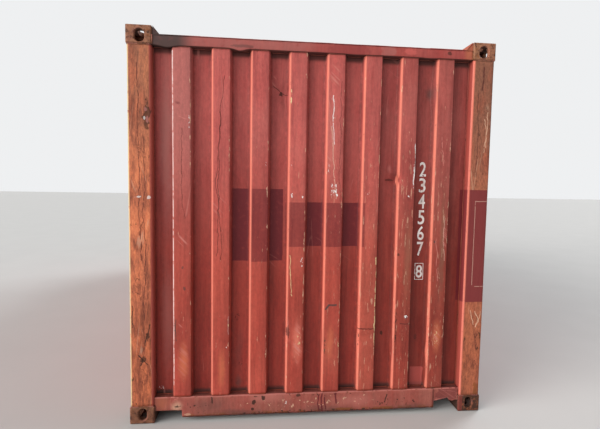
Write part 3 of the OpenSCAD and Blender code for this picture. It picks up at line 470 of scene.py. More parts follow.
@shared("Ground dirt", Height=0.3, Amount=0.5)
def ground_dirt_and_underside_shade(place, height, amount):
    """Dirt low down and on ledges that face up, with painted shade, thickest, under what faces
    down.
    """
    low = ramp(split(place)[2], 0.0, height, 1, 0)
    facing = split(put("ShaderNodeNewGeometry", out="True Normal", tree=place.tree))[2]
    patchy = cloud(scaled(place, 12.0, (1, 1, 0.5)), 6, 0.65)
    settled = (low * 0.7 + ramp(facing, 0.5, 1.0) * 0.6) * amount * ramp(patchy, 0.3, 0.7)
    # painted shade: surfaces that face down are darkened, whatever their height
    return most(settled, ramp(facing, -0.35, -0.8) * 0.8)


# ---------------------------------------------------------------- finishes

class Finish:
    """A finish in the making: its place on the object and what is painted so far. A colour
    is given by its name among the paint colours, or as numbers or a field."""

    def __init__(self, name):
        self.look = bpy.context.scene.container_paint
        self.material = bpy.data.materials.new(name)
        self.material.use_nodes = True
        self.tree = self.material.node_tree
        self.place = put("ShaderNodeTexCoord", out="Object", tree=self.tree)
        self.x, self.y, self.z = split(self.place)
        self.brushed = self.wavering(24.0, 0.006)
        self.near = vector_maths("MULTIPLY", self.brushed, (1, 0, 1))
        self.loose = vector_maths("MULTIPLY", self.wavering(5.0, 0.065), (1, 0, 1))
        self.chips = cloud(scaled(self.place, 30.0), 6, 0.65)
        self.rough = 0.6
        self.height = None

    def wavering(self, scale, reach):
        """The place moved about a little, so that edges painted or scratched by hand waver."""
        ragged = cloud(scaled(self.place, scale), 5.0, 0.6, out="Color")
        centred = vector_maths("SUBTRACT", ragged, (0.5, 0.5, 0.5))
        return vector_maths("ADD", self.place, stretched(centred, reach))

    def colour(self, given):
        return getattr(self.look, given) if isinstance(given, str) else given

    def lay(self, mask, over, rough=None, lift=0.0, strength=1.0):
        """Lays a colour over the base where the mask is, with its own roughness and height."""
        if strength != 1.0:
            mask = mask * strength
        self.base = mixed(mask, self.base, self.colour(over))
        if rough is not None:
            self.rough = mask * rough + (1.0 - mask) * self.rough
        if lift:
            self.raise_by(mask * lift)

    def tint(self, mask, over):
        """Multiplies the base by a colour where the mask is."""
        self.base = mixed(mask, self.base, self.colour(over), "MULTIPLY")

    def grade(self, fine, pale, dark, factor):
        """Darkens and brightens the base by a fine noise."""
        tone = mixed(ramp(fine, 0.3, 0.7), dark, pale)
        self.base = mixed(factor, self.base, tone, "OVERLAY")

    def raise_by(self, amount):
        self.height = amount if self.height is None else self.height + amount

    def corrode(self, amount, scale, seed):
        """Where rust has spread, its colour and its height."""
        node = self.group("Rust", None, Amount=amount, Scale=scale, Bright=self.look.rust,
                          Dark=self.look.rust_dark, Seed=seed)
        return [Field(node.outputs[label]) for label in ("Mask", "Colour", "Height")]

    def done(self):
        shader = self.tree.nodes["Principled BSDF"]
        shader.inputs["Specular IOR Level"].default_value = LOW_GLOSS
        normal = put("ShaderNodeBump", {"Strength": 1.0, "Distance": 1.0,
                                        "Height": self.height})
        for label, value in (("Base Color", self.base), ("Roughness", self.rough),
                             ("Normal", normal)):
            feed(shader.inputs[label], value)
        return self.material

    def group(self, name, out="Mask", **inputs):
        return effect(name, out, Place=self.place, **inputs)


def weathered(name, fresh, faded, seed=0.0, rust=0.25, fade=0.5, cracks=0.0, scratches=0.3,
              runs=0.3, dirt=0.3, edges=0.5, edge_radius=0.006, marks=None, grain=0.00012,
              streaks=0.5, warmth=1.0, shelter=None):
    """Old paint on steel: bleached, streaked, scratched, chipped at the edges and rusting."""
    f = Finish(name)
    fresh, faded = f.colour(fresh), f.colour(faded)
    age = f.group("Paint fade", Scale=2.6, Contrast=0.16, Seed=seed)
    f.base = mixed(age * 0.6 + (fade - 0.3), fresh, faded)
    smear = cloud(scaled(f.place, 42.0, (1, 1, 0.07), seed), 5, 0.65)
    f.lay(ramp(smear, 0.5, 0.68), [min(1.0, c * 1.25) for c in faded], strength=0.45 * streaks)
    f.lay(ramp(smear, 0.5, 0.34), [c * 0.6 for c in fresh], strength=0.5 * streaks)
    # painted shade and tones of the pressed front wall, where given
    if shelter:
        shelter(f, fresh)
    fine = cloud(scaled(f.place, 70.0, (1, 1, 0.5), seed), 6, 0.75)
    f.grade(fine, (0.72, 0.72, 0.72), (0.30, 0.29, 0.29), 0.34)
    f.lay(f.group("Paint fade", Scale=7.0, Contrast=0.1, Seed=seed + 11), "chalk", strength=0.14)
    f.rough = ramp(fine, 0.3, 0.7, 0.48, 0.66)
    f.raise_by(cloud(scaled(f.place, 240.0)) * grain)
    f.tint(ramp(f.z, 0.85, 2.1, 1, 0) * warmth, "low_tint")
    if marks:
        marks(f)
    f.lay(f.group("Runs", Scale=13.0, Amount=runs, Seed=seed), "dirt", strength=0.35)
    if cracks:
        f.lay(f.group("Grain cracks", Scale=11.0, Stretch=0.10, Width=0.010, Amount=cracks,
                      Seed=seed), "crack", 0.85, -0.0005, 0.7)
    for angle, size, strength in ((0.06, 8.0, 0.4), (-0.13, 11.0, 0.4), (0.95, 7.0, 0.22)):
        f.lay(f.group("Scratches", Angle=angle, Scale=size, Width=0.008, Amount=scratches,
                      Seed=seed + angle), "chalk", 0.5, -0.0002, strength)
    mask, rusty, height = f.corrode(rust, 14.0, seed)
    f.lay(mask, rusty, 0.9, strength=0.85)
    f.raise_by(height * 0.0005)
    worn = f.group("Edge wear", Radius=edge_radius, Amount=edges, Bend=bends(f))
    tone = ramp(cloud(scaled(f.place, 16.0)), 0.45, 0.55)
    f.lay(worn, mixed(tone, rusty, f.look.chalk), 0.85, -0.0003, 0.8)
    # ground dirt, with painted shade under what faces down
    f.lay(f.group("Ground dirt", Height=0.35, Amount=dirt), "dirt", 0.9)
    return f


def bends(f):
    """Where a mesh is marked as worn along its bends."""
    return put("ShaderNodeAttribute", out="Fac", tree=f.tree, attribute_name="wear")


def bare_grain(name, seed=0.0, marks=None):
    """Paint so cracked and rusted that it looks like split wood: the posts."""
    f = Finish(name)
    grain = cloud(scaled(f.place, 42.0, (1, 1, 0.15), seed), 6, 0.68, 0.6)
    patchy = cloud(scaled(f.place, 9.0, (1, 1, 0.35), seed + 3), 5, 0.6)
    both = grain * 0.65 + patchy * 0.35
    f.base = mixed(ramp(both, 0.38, 0.5), f.look.post_dark, f.look.post)
    left = ramp(f.x, 0.5, -0.5, 0.30, 1.0)
    f.lay(ramp(both, 0.47, 0.60) * left, "post_bright", strength=0.8)
    right = ramp(f.x, -0.5, 0.5)
    f.lay(right * ramp(patchy, 0.35, 0.6) * ramp(f.z, 0.3, 1.6, 0.3, 1.0), "post_grey",
          strength=0.5)
    middle = ramp(f.z, 0.7, 1.1) * ramp(f.z, 2.12, 2.0)
    f.lay(middle * left * ramp(patchy, 0.4, 0.6), "post_bright", strength=0.45)
    f.lay(ramp(f.z, 1.5, 2.15) * ramp(patchy, 0.3, 0.55), "post_grey", strength=0.5)
    f.tint(ramp(f.z, 1.0, 0.5), (0.88, 0.83, 0.79))
    f.tint(ramp(f.z, 1.3, 1.9) * right, (0.80, 0.76, 0.82))
    fine = cloud(scaled(f.place, 110.0, (1, 1, 0.4), seed), 5, 0.7)
    f.grade(fine, (0.70, 0.70, 0.70), (0.30, 0.30, 0.30), 0.7)
    f.rough = ramp(fine, 0.3, 0.7, 0.6, 0.85)
    f.raise_by(grain * 0.0014)
    f.raise_by(fine * 0.0004)
    for size, width, amount, strength in ((10.0, 0.008, 0.38, 0.8), (17.0, 0.012, 0.36, 0.7)):
        f.lay(f.group("Grain cracks", Scale=size, Stretch=0.02 * size, Width=width,
                      Amount=amount, Seed=seed + size), "crack", 0.9, -0.0012, strength)
    for angle, size in ((0.1, 12.0), (-0.12, 15.0), (0.3, 11.0)):
        f.lay(f.group("Scratches", Angle=angle, Scale=size, Width=0.018, Amount=0.44,
                      Seed=seed + angle), "post_pale", 0.6, strength=0.4)
    specks = ramp(f.z, 1.1, 0.4, 0.45, 0.72) * ramp(patchy, 0.42, 0.6)
    f.lay(f.group("Flakes", Where=specks, Scale=55.0, Stretch=0.4, Seed=seed), "rust_dark",
          0.9, -0.0006, 0.8)
    if marks:
        marks(f)
    mask, rusty, _ = f.corrode(0.24, 17.0, seed)
    f.lay(mask, rusty, 0.9, 0.0006, 0.6)
    # ground dirt, with painted shade under what faces down
    f.lay(f.group("Ground dirt", Height=0.25, Amount=0.45), "dirt", 0.9)
    return f


# ---------------------------------------------------------------- mesh building blocks

BOX_FACES = ((0, 1, 2, 3), (7, 6, 5, 4), (0, 4, 5, 1), (1, 5, 6, 2), (2, 6, 7, 3),
             (3, 7, 4, 0))
SIDES = ((-1, "left"), (1, "right"))


def piece(name, vertices, faces, material, smooth=True, wear=None):
    """A mesh object in the container's own frame, riding on its one body."""
    mesh = bpy.data.meshes.new(name)
    mesh.from_pydata(vertices, [], faces)
    mesh.polygons.foreach_set("use_smooth", [smooth] * len(mesh.polygons))
    if wear is not None:
        layer = mesh.attributes.new("wear", "FLOAT", "POINT")
        layer.data.foreach_set("value", wear)
    mesh.materials.append(material)
    mesh.validate()
    made = bpy.data.objects.new(name, mesh)
    bpy.context.scene.collection.objects.link(made)
    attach(made, "root")
    return made


def join(vertices, faces, more, quads):
    """Adds a part's vertices and faces to those of a piece."""
    base = len(vertices)
    vertices += more
    faces += [tuple(base + v for v in quad) for quad in quads]


def lump(x, y, z):
    """Smooth noise at a place, from about -1 to 1."""
    return noise.noise(Vector((x, y, z)))


def grid_faces(columns, rows, closed=False):
    """Quads of a grid whose vertices run along each row in turn."""
    last = columns if closed else columns - 1
    return [(r * columns + c, r * columns + (c + 1) % columns,
             (r + 1) * columns + (c + 1) % columns, (r + 1) * columns + c)
            for r in range(rows - 1) for c in range(last)]


def steps(low, high, size):
    count = max(1, math.ceil((high - low) / size))
    return [low + (high - low) * i / count for i in range(count + 1)]


def held_ends(rows, z, reach=0.08):
    """How free the metal is to move: not at all at its ends, wholly past the reach."""
    return min(1.0, (z - rows[0]) / reach, (rows[-1] - z) / reach)


def ridge_corners(start, end, count, pitch, face, slope, deep, proud):
    """The corners of a pressed sheet seen along its ridges, from one end to the other."""
    corners = [(start, deep)]
    for i in range(count):
        middle = (i - (count - 1) / 2) * pitch
        corners += [(middle - face / 2 - slope, deep), (middle - face / 2, proud),
                    (middle + face / 2, proud), (middle + face / 2 + slope, deep)]
    return corners + [(end, deep)]


def bent_path(corners, radius, cell, arc_steps=3, sharp=None):
    """A path of short steps through the corners, each rounded: (x, y, how worn) points.

    Where a second radius is given, the bends that stand out use it and are marked as worn."""
    points = [(*corners[0], 0.0)]
    middle_y = sum(y for _, y in corners) / len(corners)
    for before, corner, after in zip(corners, corners[1:], corners[2:]):
        here = Vector(corner)
        out = sharp is not None and here.y < middle_y
        bend = sharp if out else radius
        worn = 1.0 if out or sharp is None else 0.0
        back = (Vector(before) - here).normalized()
        on = (Vector(after) - here).normalized()
        half = back.angle(on) / 2
        cut = bend / math.tan(half)
        middle = here + (back + on).normalized() * bend / math.sin(half)
        a = (here + back * cut - middle).normalized()
        b = (here + on * cut - middle).normalized()
        for k in range(arc_steps + 1):
            spot = middle + a.slerp(b, k / arc_steps) * bend
            points.append((spot.x, spot.y, worn))
    points.append((*corners[-1], 0.0))
    path = [points[0]]
    for start, end in zip(points, points[1:]):
        count = max(1, math.ceil(math.dist(start[:2], end[:2]) / cell))
        for k in range(1, count + 1):
            share = k / count
            path.append((start[0] + (end[0] - start[0]) * share,
                         start[1] + (end[1] - start[1]) * share,
                         end[2] if k == count else 0.0))
    return path


def pressed(dents, x, z):
    """How far the dents move the metal at a place: inwards, and to the right."""
    deep = aside = 0.0
    for d in dents:
        far = ((x - d.x) / d.wide) ** 2 + ((z - d.z) / d.high) ** 2
        if far < 9:
            near = math.exp(-far)
            deep += d.depth * near
            aside += d.shift * near
    return deep, aside


def thicken(made, thickness, offset=-1.0):
    """Gives a sheet its thickness on the side away from its face."""
    solid = made.modifiers.new("Sheet thickness", "SOLIDIFY")
    solid.thickness = thickness
    solid.offset = offset


def weld_bead(name, runs, radius, material, sides=6):
    """Weld beads: rippled tubes along straight runs, in one piece."""
    ripple = bpy.context.scene.container_welds.ripple
    vertices, faces = [], []
    for start, end in runs:
        start, end = Vector(start), Vector(end)
        along = (end - start).normalized()
        across = along.orthogonal().normalized()
        up = along.cross(across)
        count = max(2, math.ceil((end - start).length / (ripple * 0.5)))
        tube = []
        for i in range(count + 1):
            spot = start + (end - start) * i / count
            size = radius * ((1.12 if i % 2 else 0.92) + 0.25 * noise.noise(spot * 30.0))
            if i in (0, count):
                size *= 0.4
            drift = (across * noise.noise(spot * 9.0) + up * noise.noise(spot * 9.0 + up)) * radius
            for k in range(sides):
                turn = 2 * math.pi * k / sides
                tube.append(spot + drift * 0.4
                            + (across * math.cos(turn) + up * math.sin(turn)) * size)
        join(vertices, faces, tube, grid_faces(sides, count + 1, True))
    piece(name, vertices, faces, material)


def lathe(profile, sides, at, axis):
    """Vertices and faces of a turned or many-sided head standing on a surface."""
    axis = Vector(axis).normalized()
    across = axis.orthogonal().normalized()
    up = axis.cross(across)
    vertices = [Vector(at) + axis * h + (across * math.cos(2 * math.pi * k / sides)
                + up * math.sin(2 * math.pi * k / sides)) * r
                for r, h in profile for k in range(sides)]
    faces = grid_faces(sides, len(profile), True)
    faces.append(tuple((len(profile) - 1) * sides + k for k in range(sides)))
    return vertices, faces


def heads(name, places, width, axis, dome=False):
    """Bolt heads on their washers, or round rivet heads, in one piece."""
    r = width / 2
    bolt = ((6, [(r * 1.15, 0), (r * 1.15, r * 0.55), (r * 1.02, r * 0.7)]),
            (14, [(r * 1.75, 0), (r * 1.75, r * 0.14), (r * 1.6, r * 0.2)]))
    rivet = ((12, [(r, 0), (r * 0.97, r * 0.2), (r * 0.75, r * 0.5), (r * 0.35, r * 0.66)]),)
    vertices, faces = [], []
    for place in places:
        for sides, profile in rivet if dome else bolt:
            join(vertices, faces, *lathe(profile, sides, place, axis))
    piece(name, vertices, faces, FINISHES["bolt"], smooth=False)


def paint_node(node, material):
    """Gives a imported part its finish."""
    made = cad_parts[node]
    if not made.material_slots:
        made.data.materials.append(material)
    for held in made.material_slots:
        held.link = "OBJECT"
        held.material = material


def soften(node, width, parts):
    """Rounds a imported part's sharp edges a little."""
    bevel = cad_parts[node].modifiers.new("Soft edges", "BEVEL")
    bevel.width = width
    bevel.segments = parts
    bevel.limit_method = "ANGLE"
    bevel.angle_limit = math.radians(40)
    bevel.use_clamp_overlap = True


# ---------------------------------------------------------------- marks of the front end

Stroke = namedtuple("Stroke", "x z to_x to_z width breaks tone")
Blot = namedtuple("Blot", "x z wide high tone strength")
Area = namedtuple("Area", "low_x high_x low_z high_z")

REPAINTED = (Area(-0.567, -0.214, 1.088, 1.579), Area(-0.201, 0.345, 1.189, 1.492))
RELIEVED = Area(0.714, 0.806, 0.177, 0.316)
POST_REPAINT = Area(1.034, 1.209, 0.799, 1.594)
POST_OUTLINE = Area(1.119, 1.260, 0.908, 1.517)
# where a painted catch-light runs down the first ridge's left bend
RIDGE_CATCH_LIGHT = Area(-0.942, -0.930, 0.25, 2.45)

# Places in metres. A stroke: its two ends, width, how broken and tone.
# A blot: its middle, reach each way, tone and strength.
WALL_STROKES = [Stroke(*row) for row in (
    (-0.3, 2.26, -0.24, 2.21, 0.004, 0.36, "crack"),
    (-0.24, 2.21, -0.2, 2.19, 0.004, 0.36, "crack"),
    (-0.925, 0.7, -0.927, 0.56, 0.005, 0.42, "grime"),
    (-0.575, 0.72, -0.577, 0.6, 0.006, 0.42, "greyed"),
    (-0.872, 1.96, -0.885, 1.66, 0.0024, 0.4, "crack"),
    (-0.885, 1.68, -0.868, 1.37, 0.0022, 0.42, "crack"),
    (-0.905, 2.03, -0.85, 2.018, 0.003, 0.38, "chalk"),
    (-0.612, 2.3, -0.64, 1.8, 0.0026, 0.34, "crack"),
    (-0.64, 1.8, -0.655, 1.12, 0.0028, 0.34, "crack"),
    (-0.625, 2.08, -0.66, 1.62, 0.0026, 0.38, "crack"),
    (-0.66, 1.62, -0.618, 1.1, 0.0026, 0.38, "crack"),
    (0.07, 2.33, 0.1, 1.9, 0.003, 0.44, "chalk"), (0.11, 2.2, 0.118, 1.88, 0.003, 0.42, "white"),
    (0.1, 2.0, 0.135, 1.52, 0.0036, 0.44, "primer"),
    (0.16, 2.3, 0.165, 1.5, 0.0022, 0.42, "crack"),
    (0.085, 0.762, 0.115, 0.79, 0.01, 0.36, "grime"),
    (0.115, 0.79, 0.16, 0.782, 0.01, 0.36, "grime"), (0.683, 1.9, 0.68, 1.6, 0.005, 0.44, "white"),
    (0.43, 1.12, 0.431, 0.48, 0.005, 0.47, "post_edge"),
    (0.875, 1.95, 0.885, 1.76, 0.0026, 0.42, "chalk"),
    (0.905, 1.41, 0.918, 1.09, 0.0024, 0.4, "primer"),
    (0.855, 1.25, 0.87, 0.95, 0.0024, 0.44, "chalk"),
    (0.32, 0.618, 0.425, 0.612, 0.005, 0.38, "crack"),
    (0.61, 0.65, 0.695, 0.645, 0.005, 0.38, "crack"),
    (-0.17, 1.14, -0.15, 0.85, 0.003, 0.42, "post_edge"),
)]
WALL_BLOTS = [Blot(*row) for row in (
    (-0.876, 1.05, 0.009, 0.013, "grime", 0.6), (-0.867, 0.91, 0.01, 0.018, "grime", 0.65),
    (-0.239, 2.21, 0.014, 0.015, "rust_dark", 0.85), (-0.173, 0.605, 0.013, 0.04, "crack", 0.8),
    (0.498, 0.565, 0.01, 0.022, "rust_dark", 0.8), (0.521, 1.652, 0.032, 0.01, "crack", 0.8),
    (0.587, 1.14, 0.009, 0.013, "rust_dark", 0.7), (0.656, 0.693, 0.012, 0.016, "repaint", 0.9),
    (0.843, 1.226, 0.009, 0.013, "grime", 0.8), (0.746, 0.532, 0.013, 0.022, "crack", 0.6),
    (-1.017, 0.185, 0.06, 0.022, "dirt", 0.6),
)]
WALL_GLOWS = [Blot(*row) for row in (
    (-0.875, 0.42, 0.046, 0.19, "post_bright", 0.45),
    (-0.62, 0.355, 0.04, 0.19, "post_bright", 0.4), (-0.11, 0.53, 0.044, 0.2, "bleach", 0.6),
    (0.882, 0.545, 0.046, 0.15, "post_bright", 0.45),
    # (0.515, 1.72): a painted sheen in the flat above a dent
    (0.115, 0.52, 0.04, 0.16, "post_bright", 0.35), (0.515, 1.72, 0.024, 0.044, "chalk", 0.4),
    (0.1, 1.95, 0.05, 0.48, "chalk", 0.3), (-0.985, 1.9, 0.055, 0.8, "greyed", 0.72),
    (0.79, 2.25, 0.04, 0.06, "grime", 0.6), (-0.508, 0.24, 0.03, 0.06, "grime", 0.6),
    (-0.9, 2.12, 0.024, 0.016, "repaint", 0.5), (0.9, 1.2, 0.03, 0.5, "post_grey", 0.5),
    (0.65, 1.1, 0.04, 0.45, "post_grey", 0.4), (0.885, 1.0, 0.045, 0.35, "grime", 0.2),
    (-0.5, 0.45, 0.045, 0.24, "grime", 0.3), (-0.985, 0.7, 0.055, 0.6, "greyed", 0.4),
)]
WALL_FLAKES = [Blot(*row) for row in (
    (-0.832, 2.005, 0.01, 0.11, "white", 0.82), (-0.584, 0.51, 0.013, 0.024, "white", 0.95),
    (-0.332, 1.745, 0.012, 0.034, "white", 0.9), (-0.166, 1.74, 0.01, 0.03, "white", 0.8),
    (-0.16, 1.54, 0.015, 0.03, "white", 0.95), (-0.092, 1.525, 0.014, 0.026, "white", 1.0),
    (-0.088, 1.085, 0.016, 0.06, "white", 0.8), (0.124, 1.585, 0.048, 0.08, "white", 0.82),
    (0.145, 1.545, 0.014, 0.018, "white", 1.2), (0.112, 2.04, 0.012, 0.17, "white", 0.72),
    (0.105, 2.17, 0.03, 0.06, "white", 0.7), (0.09, 1.72, 0.02, 0.07, "white", 0.7),
    (0.359, 1.555, 0.014, 0.018, "white", 1.0), (0.644, 1.55, 0.026, 0.03, "white", 0.8),
    (0.677, 1.72, 0.006, 0.08, "white", 0.95), (0.675, 1.865, 0.009, 0.045, "white", 0.9),
    (0.656, 0.695, 0.024, 0.032, "white", 1.0), (-1.02, 0.22, 0.05, 0.02, "white", 0.75),
    (-0.173, 2.175, 0.01, 0.105, "post_edge", 0.9), (0.086, 0.505, 0.012, 0.12, "post_edge", 0.75),
    (0.176, 0.51, 0.013, 0.06, "post_edge", 0.85), (-0.099, 0.53, 0.03, 0.14, "post_edge", 0.72),
    (0.882, 0.545, 0.036, 0.1, "post_edge", 0.7), (0.431, 0.655, 0.007, 0.18, "post_edge", 0.9),
    (-0.578, 0.665, 0.014, 0.06, "post_edge", 0.8), (-0.929, 0.64, 0.011, 0.065, "rust_dark", 0.9),
    (-0.517, 0.7, 0.03, 0.05, "rust_dark", 0.8), (-0.488, 0.375, 0.036, 0.05, "rust_dark", 0.75),
    (0.084, 0.505, 0.01, 0.12, "rust_dark", 0.85), (0.321, 0.535, 0.01, 0.09, "rust_dark", 0.85),
    (0.583, 0.61, 0.011, 0.26, "rust_dark", 0.9), (0.832, 0.505, 0.011, 0.15, "rust_dark", 0.85),
)]
WALL_SCUFFS_AND_DENT_HIGHLIGHT = [Blot(*row) for row in (
    (-0.872, 1.235, 0.048, 0.056, "chalk", 1.0), (-0.874, 0.67, 0.036, 0.03, "chalk", 1.0),
    (-0.875, 0.42, 0.044, 0.15, "chalk", 0.6), (-0.105, 0.53, 0.036, 0.16, "chalk", 0.9),
    (0.882, 0.545, 0.036, 0.12, "chalk", 0.6), (-0.643, 1.465, 0.07, 0.1, "chalk", 0.6),
    # (-0.284, 2.285): a painted highlight on the rim of a dent, drawn as scuffs
    (-0.284, 2.285, 0.018, 0.062, "chalk", 0.8), (0.117, 2.33, 0.045, 0.12, "chalk", 0.9),
    (0.089, 1.78, 0.024, 0.1, "chalk", 0.8), (0.64, 0.863, 0.032, 0.012, "chalk", 0.8),
    (0.915, 1.25, 0.02, 0.16, "chalk", 0.6),
)]
POST_STROKES = [Stroke(*row) for row in (
    (1.136, 2.43, 1.137, 2.28, 0.008, 0.38, "crack"),
    (1.11, 2.25, 1.12, 1.65, 0.003, 0.42, "crack"),
    (1.19, 2.13, 1.165, 1.85, 0.003, 0.4, "post_pale"),
    (1.165, 2.08, 1.18, 1.88, 0.003, 0.42, "post_pale"),
    (1.12, 0.74, 1.15, 0.64, 0.0032, 0.38, "post_pale"),
    (1.15, 0.735, 1.185, 0.66, 0.0036, 0.36, "post_pale"),
    (1.185, 0.66, 1.165, 0.62, 0.0036, 0.34, "post_pale"),
    (1.165, 0.62, 1.195, 0.735, 0.0036, 0.34, "post_pale"),
    (-1.15, 2.35, -1.14, 1.1, 0.0032, 0.44, "crack"),
    (-1.11, 1.9, -1.12, 0.7, 0.003, 0.45, "crack"),
    (-1.195, 0.8, -1.193, 0.655, 0.0045, 0.38, "rust_dark"),
    (-1.085, 0.665, -1.112, 0.535, 0.0045, 0.36, "rust_dark"),
    (-1.16, 0.465, -1.105, 0.4, 0.005, 0.36, "rust_dark"),
    (-1.135, 0.44, -1.15, 0.4, 0.0045, 0.38, "rust_dark"),
)]
POST_BLOTS = [Blot(*row) for row in (
    (-1.092, 2.035, 0.027, 0.088, "rust_dark", 0.75), (-1.103, 2.07, 0.01, 0.02, "greyed", 0.7),
    (-1.088, 2.005, 0.01, 0.024, "greyed", 0.8), (-1.108, 2.015, 0.006, 0.01, "white", 0.5),
    (-1.15, 1.514, 0.022, 0.007, "white", 0.6), (-1.085, 1.512, 0.014, 0.01, "white", 0.6),
    (-1.101, 0.6, 0.012, 0.035, "rust_dark", 0.8), (-1.134, 0.437, 0.018, 0.02, "rust_dark", 0.8),
    (1.182, 0.16, 0.018, 0.046, "rust", 0.7),
)]
HEADER_BLOTS = [Blot(*row) for row in (
    (0.2, 2.5, 0.15, 0.05, "fresh", 0.55), (0.47, 2.505, 0.06, 0.04, "greyed", 0.5),
    (0.619, 2.509, 0.044, 0.031, "faded", 0.6), (0.891, 2.509, 0.015, 0.015, "rust_dark", 0.7),
    (-0.5, 2.49, 0.09, 0.012, "grime", 0.5),
)]
SILL_STROKES = [Stroke(*row) for row in (
    (0.052, 0.16, 0.052, 0.045, 0.007, 0.38, "repaint"),
    (0.075, 0.165, 0.075, 0.03, 0.008, 0.36, "repaint"),
    (0.098, 0.15, 0.098, 0.06, 0.006, 0.4, "repaint"),
    (0.177, 0.165, 0.177, 0.1, 0.008, 0.38, "repaint"),
    (-0.686, 0.172, -0.686, 0.118, 0.007, 0.36, "rust_dark"),
    (0.528, 0.142, 0.516, 0.09, 0.006, 0.34, "rust_dark"),
    # painted highlights along the torn lower edge of the right notch
    (0.89, 0.086, 0.985, 0.103, 0.0045, 0.34, "chalk"),
    (0.985, 0.103, 0.988, 0.082, 0.006, 0.3, "primer"),
    (0.93, 0.16, 1.04, 0.15, 0.004, 0.44, "chalk"),
)]
SILL_BLOTS = [Blot(*row) for row in (
    (-0.403, 0.12, 0.014, 0.017, "rust_dark", 0.9),
    (-0.413, 0.071, 0.012, 0.012, "rust_dark", 0.9),
    (-0.338, 0.146, 0.016, 0.017, "rust_dark", 0.9),
    (-0.097, 0.159, 0.013, 0.012, "rust_dark", 0.8),
    (-0.838, 0.05, 0.024, 0.009, "post_pale", 0.6), (0.221, 0.05, 0.06, 0.012, "rust", 0.8),
    (0.527, 0.046, 0.05, 0.012, "rust", 0.8), (0.975, 0.125, 0.1, 0.07, "repaint", 0.5),
)]
SILL_GLOWS = [Blot(*row) for row in (
    (-1.01, 0.13, 0.07, 0.08, "post", 0.7), (-0.92, 0.11, 0.05, 0.06, "post_pale", 0.75),
    (-0.7, 0.1, 0.2, 0.08, "grime", 0.35), (-0.3, 0.15, 0.2, 0.05, "chalk", 0.45),
    (0.3, 0.11, 0.2, 0.06, "chalk", 0.4), (0.1, 0.06, 0.25, 0.04, "grime", 0.45),
    (0.7, 0.05, 0.2, 0.04, "grime", 0.45), (-0.5, 0.05, 0.25, 0.035, "grime", 0.5),
)]
SILL_FLAKES = [Blot(*row) for row in (
    (-0.8, 0.1, 0.3, 0.09, "rust_dark", 0.62), (-0.186, 0.094, 0.027, 0.045, "white", 0.75),
    (0.0, 0.11, 0.9, 0.09, "post_pale", 0.62), (0.6, 0.08, 0.4, 0.08, "rust_dark", 0.6),
    (0.0, 0.16, 0.9, 0.016, "rust_dark", 0.7), (0.0, 0.045, 0.9, 0.02, "rust_dark", 0.85),
)]


def area_mask(f, area, deep=(-4.0, -2.8)):
    """The mask of a patch, which may reach only part of the wall's depth."""
    return effect("Patch", Place=f.brushed, Soft=0.003, Low=(area.low_x, deep[0], area.low_z),
                  High=(area.high_x, deep[1], area.high_z))


def spot_mask(f, place, mark, ragged, soft=0.3):
    return effect("Spot", Place=place, Centre=(mark.x, 0, mark.z),
                  Size=(mark.wide, 1, mark.high), Chips=f.chips, Ragged=ragged, Soft=soft)


def draw_blots(f, blots, ragged, rough=0.85):
    """Single spots of rust, dirt or other paint at their places on the front."""
    for b in blots:
        f.lay(spot_mask(f, f.near, b, ragged), b.tone, rough, strength=b.strength)


def draw_marks(f, strokes, blots, ragged):
    """Single scratches, cracks, rust spots and scuffs at their places on the front."""
    for s in strokes:
        mask = effect("Line mark", Place=f.loose, From=(s.x, 0, s.z), To=(s.to_x, 0, s.to_z),
                      Width=s.width, Chips=f.chips, Breaks=s.breaks)
        f.lay(mask, s.tone, 0.8, -0.0008 if s.tone == "rust_dark" else 0.0, 0.9)
    draw_blots(f, blots, ragged)


def crowd(f, places, tone):
    """How thick the marks of one tone lie, fading out round each of their places."""
    return most(*[spot_mask(f, f.near, b, 0.15, 0.7) * b.strength
                  for b in places if b.tone == tone])


def draw_flakes(f, places, scale=90.0, stretch=0.5):
    """Small flakes off the paint, crowded round their places, one lot for each tone."""
    for tone in sorted({b.tone for b in places}):
        f.lay(f.group("Flakes", Where=crowd(f, places, tone), Scale=scale, Stretch=stretch,
                      Seed=float(len(tone))), tone, 0.8, -0.0005, 0.9)


def draw_scuffs(f, places, angle):
    """Fine slanting scratches, close together, at their places."""
    streaks = f.group("Scratches", Angle=angle, Scale=30.0, Width=0.05, Amount=0.95, Seed=4.0)
    f.lay(streaks * crowd(f, places, "chalk"), "chalk", 0.6, strength=0.8)


def draw_glows(f, places):
    """Broad places where the paint is warmer, paler or greyer, without an edge."""
    for b in places:
        f.lay(spot_mask(f, f.loose, b, 0.1, 0.95), b.tone, strength=b.strength)


